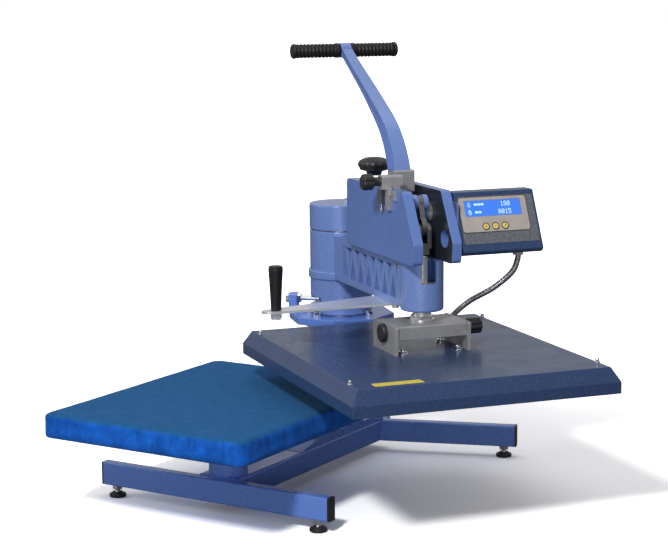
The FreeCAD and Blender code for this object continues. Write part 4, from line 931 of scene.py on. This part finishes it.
# ---- controller face --------------------------------------------------------------------
OUT = -Vector(JOINTS["button_1_press"]["axis"]).normalized()
UP = OUT.cross(HEAD_X)
FACE = Matrix((HEAD_X, UP, OUT)).transposed()


def on_face(x, y, z):
    """A point from millimetres across, up and out of the controller's panel."""
    return FACE @ (Vector((x, y, z)) * MM)


def face_box(node):
    back = FACE.inverted()
    points = [back @ v.co for v in frame["nodes"][node].data.vertices]
    return (Vector(min(p[i] for p in points) for i in range(3)) / MM,
            Vector(max(p[i] for p in points) for i in range(3)) / MM)


GLYPHS = {
    "0": "01110 10001 10011 10101 11001 10001 01110",
    "1": "00100 01100 00100 00100 00100 00100 01110",
    "5": "11111 10000 11110 00001 00001 10001 01110",
    "8": "01110 10001 10001 01110 10001 10001 01110",
    "heat": "00100 01010 01010 01010 10001 10001 01110",
    "clock": "01110 10101 10101 10111 10001 10001 01110",
    "bar": "00000 00000 11111 11111 11111 00000 00000",
}


def display_digits():
    """Generic dot-matrix figures: a heat symbol and a clock, each with a number."""
    low, high = face_box("display_window")
    columns, dot = 16, 0.82
    cell = (high.x - low.x - 5.0) / columns
    rows = (("heat", 0, 0), ("bar", 2, 0), ("bar", 3, 0), ("bar", 4, 0),
            ("1", 10, 0), ("8", 11, 0), ("0", 12, 0),
            ("clock", 0, 1), ("bar", 2, 1), ("bar", 3, 1),
            ("0", 9, 1), ("0", 10, 1), ("1", 11, 1), ("5", 12, 1))
    parts = []
    for glyph, column, row in rows:
        x0 = low.x + 2.5 + cell * (column + 0.5)
        y0 = high.y - 2.6 - row * (high.y - low.y) / 2
        for j, line in enumerate(GLYPHS[glyph].split()):
            for i, on in enumerate(line):
                if on == "1":
                    outline = [(x0 + i * 1.0 + dx * dot, y0 - j * 1.18 + dy * 1.0) for dx, dy in
                               ((0, -1), (1, -1), (1, 0), (0, 0))]
                    parts.append(slab(outline, on_face, high.z - 0.02, high.z + 0.12))
    points, faces = merged(*parts)
    made = piece("display_figures", points, faces, DISPLAY_INK, "head")


def key_field_plate():
    """Raised pale field with openings for the display and keys, and a dark groove round it."""
    low, high = face_box("controller_panel")
    screen_low, screen_high = face_box("display_window")
    centre_x = (screen_low.x + screen_high.x) / 2 + 0.8
    bottom = face_box("button_1")[0].y - 4.0
    top = high.y - 2.0
    width, height = screen_high.x - screen_low.x + 20.4, top - bottom

    def middle(x, y, z):
        return on_face(centre_x + x, (top + bottom) / 2 + y, z)

    outline = rounded_outline(width, height, 5.0)
    field = piece("key_field", *slab(outline, middle, high.z - 0.1, high.z + 0.5, 0.35), KEY_FIELD, None)
    cutters = []
    for node, grow in (("display_window", 0.4), ("button_1", 0.9), ("button_2", 0.9), ("button_3", 0.9)):
        a, b = face_box(node)
        mid = ((a.x + b.x) / 2, (a.y + b.y) / 2)
        round_corner = 0.6 if node == "display_window" else (b.x - a.x) / 2 + grow - 0.01
        hole = rounded_outline(b.x - a.x + 2 * grow, b.y - a.y + 2 * grow, round_corner, 8)
        body = slab([(x + mid[0], y + mid[1]) for x, y in hole], on_face, high.z - 3, high.z + 3)
        cutters.append(piece("cutter", *body, KEY_FIELD, None))
    for cutter in cutters:
        cut = field.modifiers.new("hole", "BOOLEAN")
        cut.object = cutter
        cut.solver = "EXACT"
    baked(field).data.set_sharp_from_angle(angle=math.radians(40))
    for cutter in cutters:
        bpy.data.objects.remove(cutter)
    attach(field, "head")
    groove = ring_slab(rounded_outline(width + 2.6, height + 2.6, 6.3), outline, middle,
                       high.z - 0.1, high.z + 0.12)
    rim = piece("key_field_groove", *groove, MATERIALS["black_plastic"], "head")


def key_rings_and_marks():
    """A dark ring round each key and a generic mark on its cap: a dot, minus and plus."""
    bar_long, bar_wide = 4.0, 0.8
    for k in (1, 2, 3):
        low, high = face_box(f"button_{k}")
        centre = (low + high) / 2
        radius = (high.x - low.x) / 2
        skin = face_box("controller_panel")[1].z

        def middle(x, y, z):
            return on_face(centre.x + x, centre.y + y, z)

        outer = rounded_outline(2 * radius + 3.2, 2 * radius + 3.2, radius + 1.59, 10)
        inner = rounded_outline(2 * radius + 0.8, 2 * radius + 0.8, radius + 0.39, 10)
        ring = piece(f"key_ring_{k}", *ring_slab(outer, inner, middle, skin - 0.1, skin + 0.75),
                     MATERIALS["black_plastic"], "head")
        flat = [slab(rounded_outline(bar_long, bar_wide, 0.3, 3), middle, high.z - 0.05, high.z + 0.12)]
        tall = [slab(rounded_outline(bar_wide, bar_long, 0.3, 3), middle, high.z - 0.05, high.z + 0.125)]
        dot = [slab(rounded_outline(2.2, 2.2, 1.05, 6), middle, high.z - 0.05, high.z + 0.12)]
        marks = (dot, flat, flat + tall)[k - 1]
        made = piece(f"key_mark_{k}", *merged(*marks), MATERIALS["black_plastic"], f"button_{k}")


def platen_label():
    """A blank yellow strip near the platen's front left corner."""
    low, high = head_box("platen_cover")

    def middle(x, y, z):
        return at(low.x + 87.0 + x, low.y + 34.0 + y, z)

    outline = rounded_outline(81.0, 20.0, 2.0)
    strip = piece("platen_label", *slab(outline, middle, high.z - 0.02, high.z + 0.25, 0.1),
                  LABEL_YELLOW, "platen")


# ---- weld beads -------------------------------------------------------------------------
def weld(name, a, b, radius, body):
    """A rippled bead of weld from a to b."""
    length = (b - a).length
    ripple = 2.2
    steps = max(2, int(length / (0.5 * MM)))
    centres = [a + (b - a) * (k / steps) for k in range(steps + 1)]
    end = length / MM

    def swell(run):
        taper = min(1.0, 0.35 + run / 2.5, 0.35 + (end - run) / 2.5)
        return radius * taper * (1 + 0.14 * math.cos(2 * math.pi * run / ripple))

    made = piece(name, *tube_along(centres, swell, 12), MATERIALS["blue_frame"], body, 80)


def welds():
    beam_low, beam_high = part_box("centre_beam")
    for side, x in (("left", beam_low.x), ("right", beam_high.x)):
        weld("weld_front_" + side, Vector((x, beam_low.y, beam_low.z + 0.004)),
             Vector((x, beam_low.y, beam_high.z - 0.004)), 2.4, "base")
    weld("weld_front_top", Vector((beam_low.x + 0.004, beam_low.y, beam_high.z)),
         Vector((beam_high.x - 0.004, beam_low.y, beam_high.z)), 2.0, "base")


# ---- stage ------------------------------------------------------------------------------
FLOOR_GAIN = 2.3                 # how much whiter the floor looks to the camera than it is lit
FLOOR_BOUNCE = 0.30              # what it throws back
FLOOR_FADE = (0.8, 2.2)          # metres from the middle over which it turns white
MIRROR_GAIN = 2.2                # how much brighter the room is in mirrors
ROOM_SHADES = ((0.0, 0.08), (0.48, 0.12), (0.56, 0.24), (0.75, 0.26), (1.0, 0.34))   # from below to above
MIDDLE = (0.1, 0.15, 0.05)
SOFTBOXES = (                    # name, place, aim, size, watts
    ("top_light", (-0.1, 0.5, 2.3), MIDDLE, (1.6, 1.4), 6),
    ("key_light", (0.8, -2.6, 2.2), MIDDLE, (0.35, 0.35), 74),
    ("left_light", (-2.4, -1.4, 1.3), MIDDLE, (1.2, 1.2), 13),
    ("low_light", (1.4, -2.8, 0.3), (0.1, 0.15, -0.1), (2.0, 0.5), 16),
)
CAMERA_PLACE = (1.7155, -2.4621, 0.6906)
CAMERA_YAW, CAMERA_PITCH, CAMERA_ROLL = (math.radians(a) for a in (31.4, 9.35, -0.45))
CAMERA_LENS = 98.2


def floor():
    """Pale floor under the feet.  To the camera it fades into white away from the press,
    and it throws back only part of the light, so undersides stay dark."""
    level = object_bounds()[0].z
    made = bpy.data.meshes.new("floor")
    reach = 30.0
    made.from_pydata([(-reach, -reach, level), (reach, -reach, level), (reach, reach, level),
                      (-reach, reach, level)], [], [(0, 1, 2, 3)])
    s = Shader("floor_white")
    seen = s.node("LightPath").outputs["Is Camera Ray"]
    distance = s.node("VectorMath", operation="LENGTH")
    s.put(distance.inputs[0], s.place)
    glow = s.spread(distance.outputs["Value"], *FLOOR_FADE)
    cloudy = s.noise(3, 2)
    pale = s.mix(cloudy, (0.88 * FLOOR_GAIN,) * 3, (0.90 * FLOOR_GAIN,) * 3)
    made.materials.append(s.finish(Base_Color=s.mix(seen, (FLOOR_BOUNCE,) * 3, pale), Roughness=0.9,
                                   Specular_IOR_Level=0.05, Emission_Color=(1, 1, 1),
                                   Emission_Strength=s.sum("MULTIPLY", glow, seen)))
    out = bpy.data.objects.new("floor", made)
    bpy.context.scene.collection.objects.link(out)
    out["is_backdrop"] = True


def softbox(name, place, aim, size, power):
    lamp = bpy.data.lights.new(name, "AREA")
    lamp.shape = "RECTANGLE"
    lamp.size, lamp.size_y = size
    lamp.energy = power
    out = bpy.data.objects.new(name, lamp)
    out.location = place
    out.rotation_mode = "QUATERNION"
    out.rotation_quaternion = (Vector(aim) - Vector(place)).to_track_quat("-Z", "Y")
    bpy.context.scene.collection.objects.link(out)


def surroundings():
    """White to the camera; a soft grey room, darker low down, to everything else."""
    world = bpy.data.worlds.new("studio")
    bpy.context.scene.world = world
    world.use_nodes = True
    tree = world.node_tree
    light = tree.nodes["Background"]
    seen = tree.nodes.new("ShaderNodeBackground")
    seen.inputs["Color"].default_value = (1, 1, 1, 1)
    place = tree.nodes.new("ShaderNodeTexCoord")
    split = tree.nodes.new("ShaderNodeSeparateXYZ")
    ramp = tree.nodes.new("ShaderNodeValToRGB")
    tree.links.new(place.outputs["Generated"], split.inputs[0])
    half = tree.nodes.new("ShaderNodeMapRange")
    half.inputs["From Min"].default_value = -1.0
    tree.links.new(split.outputs["Z"], half.inputs["Value"])
    tree.links.new(half.outputs[0], ramp.inputs["Fac"])
    for k, (spot, shade) in enumerate(ROOM_SHADES):
        stop = ramp.color_ramp.elements[k] if k < 2 else ramp.color_ramp.elements.new(spot)
        stop.position = spot
        stop.color = (shade, shade, shade * 1.02, 1)
    tree.links.new(ramp.outputs["Color"], light.inputs["Color"])
    rays = tree.nodes.new("ShaderNodeLightPath")
    shine = tree.nodes.new("ShaderNodeMapRange")
    shine.inputs["To Min"].default_value = 1.0
    shine.inputs["To Max"].default_value = MIRROR_GAIN
    tree.links.new(rays.outputs["Is Glossy Ray"], shine.inputs["Value"])
    tree.links.new(shine.outputs[0], light.inputs["Strength"])
    both = tree.nodes.new("ShaderNodeMixShader")
    tree.links.new(rays.outputs["Is Camera Ray"], both.inputs[0])
    tree.links.new(light.outputs[0], both.inputs[1])
    tree.links.new(seen.outputs[0], both.inputs[2])
    tree.links.new(both.outputs[0], tree.nodes["World Output"].inputs["Surface"])


def camera():
    """Seen from the front right, a little above the head, through a long lens."""
    data = bpy.data.cameras.new("camera")
    data.lens, data.sensor_width = CAMERA_LENS, 36.0
    data.clip_end = 100.0
    out = bpy.data.objects.new("camera", data)
    spin = (Matrix.Rotation(CAMERA_YAW, 4, "Z") @ Matrix.Rotation(math.pi / 2 - CAMERA_PITCH, 4, "X")
            @ Matrix.Rotation(CAMERA_ROLL, 4, "Z"))
    out.matrix_world = Matrix.Translation(CAMERA_PLACE) @ spin
    bpy.context.scene.collection.objects.link(out)
    bpy.context.scene.camera = out


def studio():
    floor()
    surroundings()
    for row in SOFTBOXES:
        softbox(*row)
    camera()
    view = bpy.context.scene.view_settings
    view.view_transform = "Standard"
    view.look = "None"


paint_frame()
table_cover()
table_pad()
hem_stitches()
pressure_knob()
lock_knob()
float_knob()
swing_grip()
bar_grips()
feet()
conduit()
display_digits()
key_field_plate()
key_rings_and_marks()
platen_label()
welds()
studio()
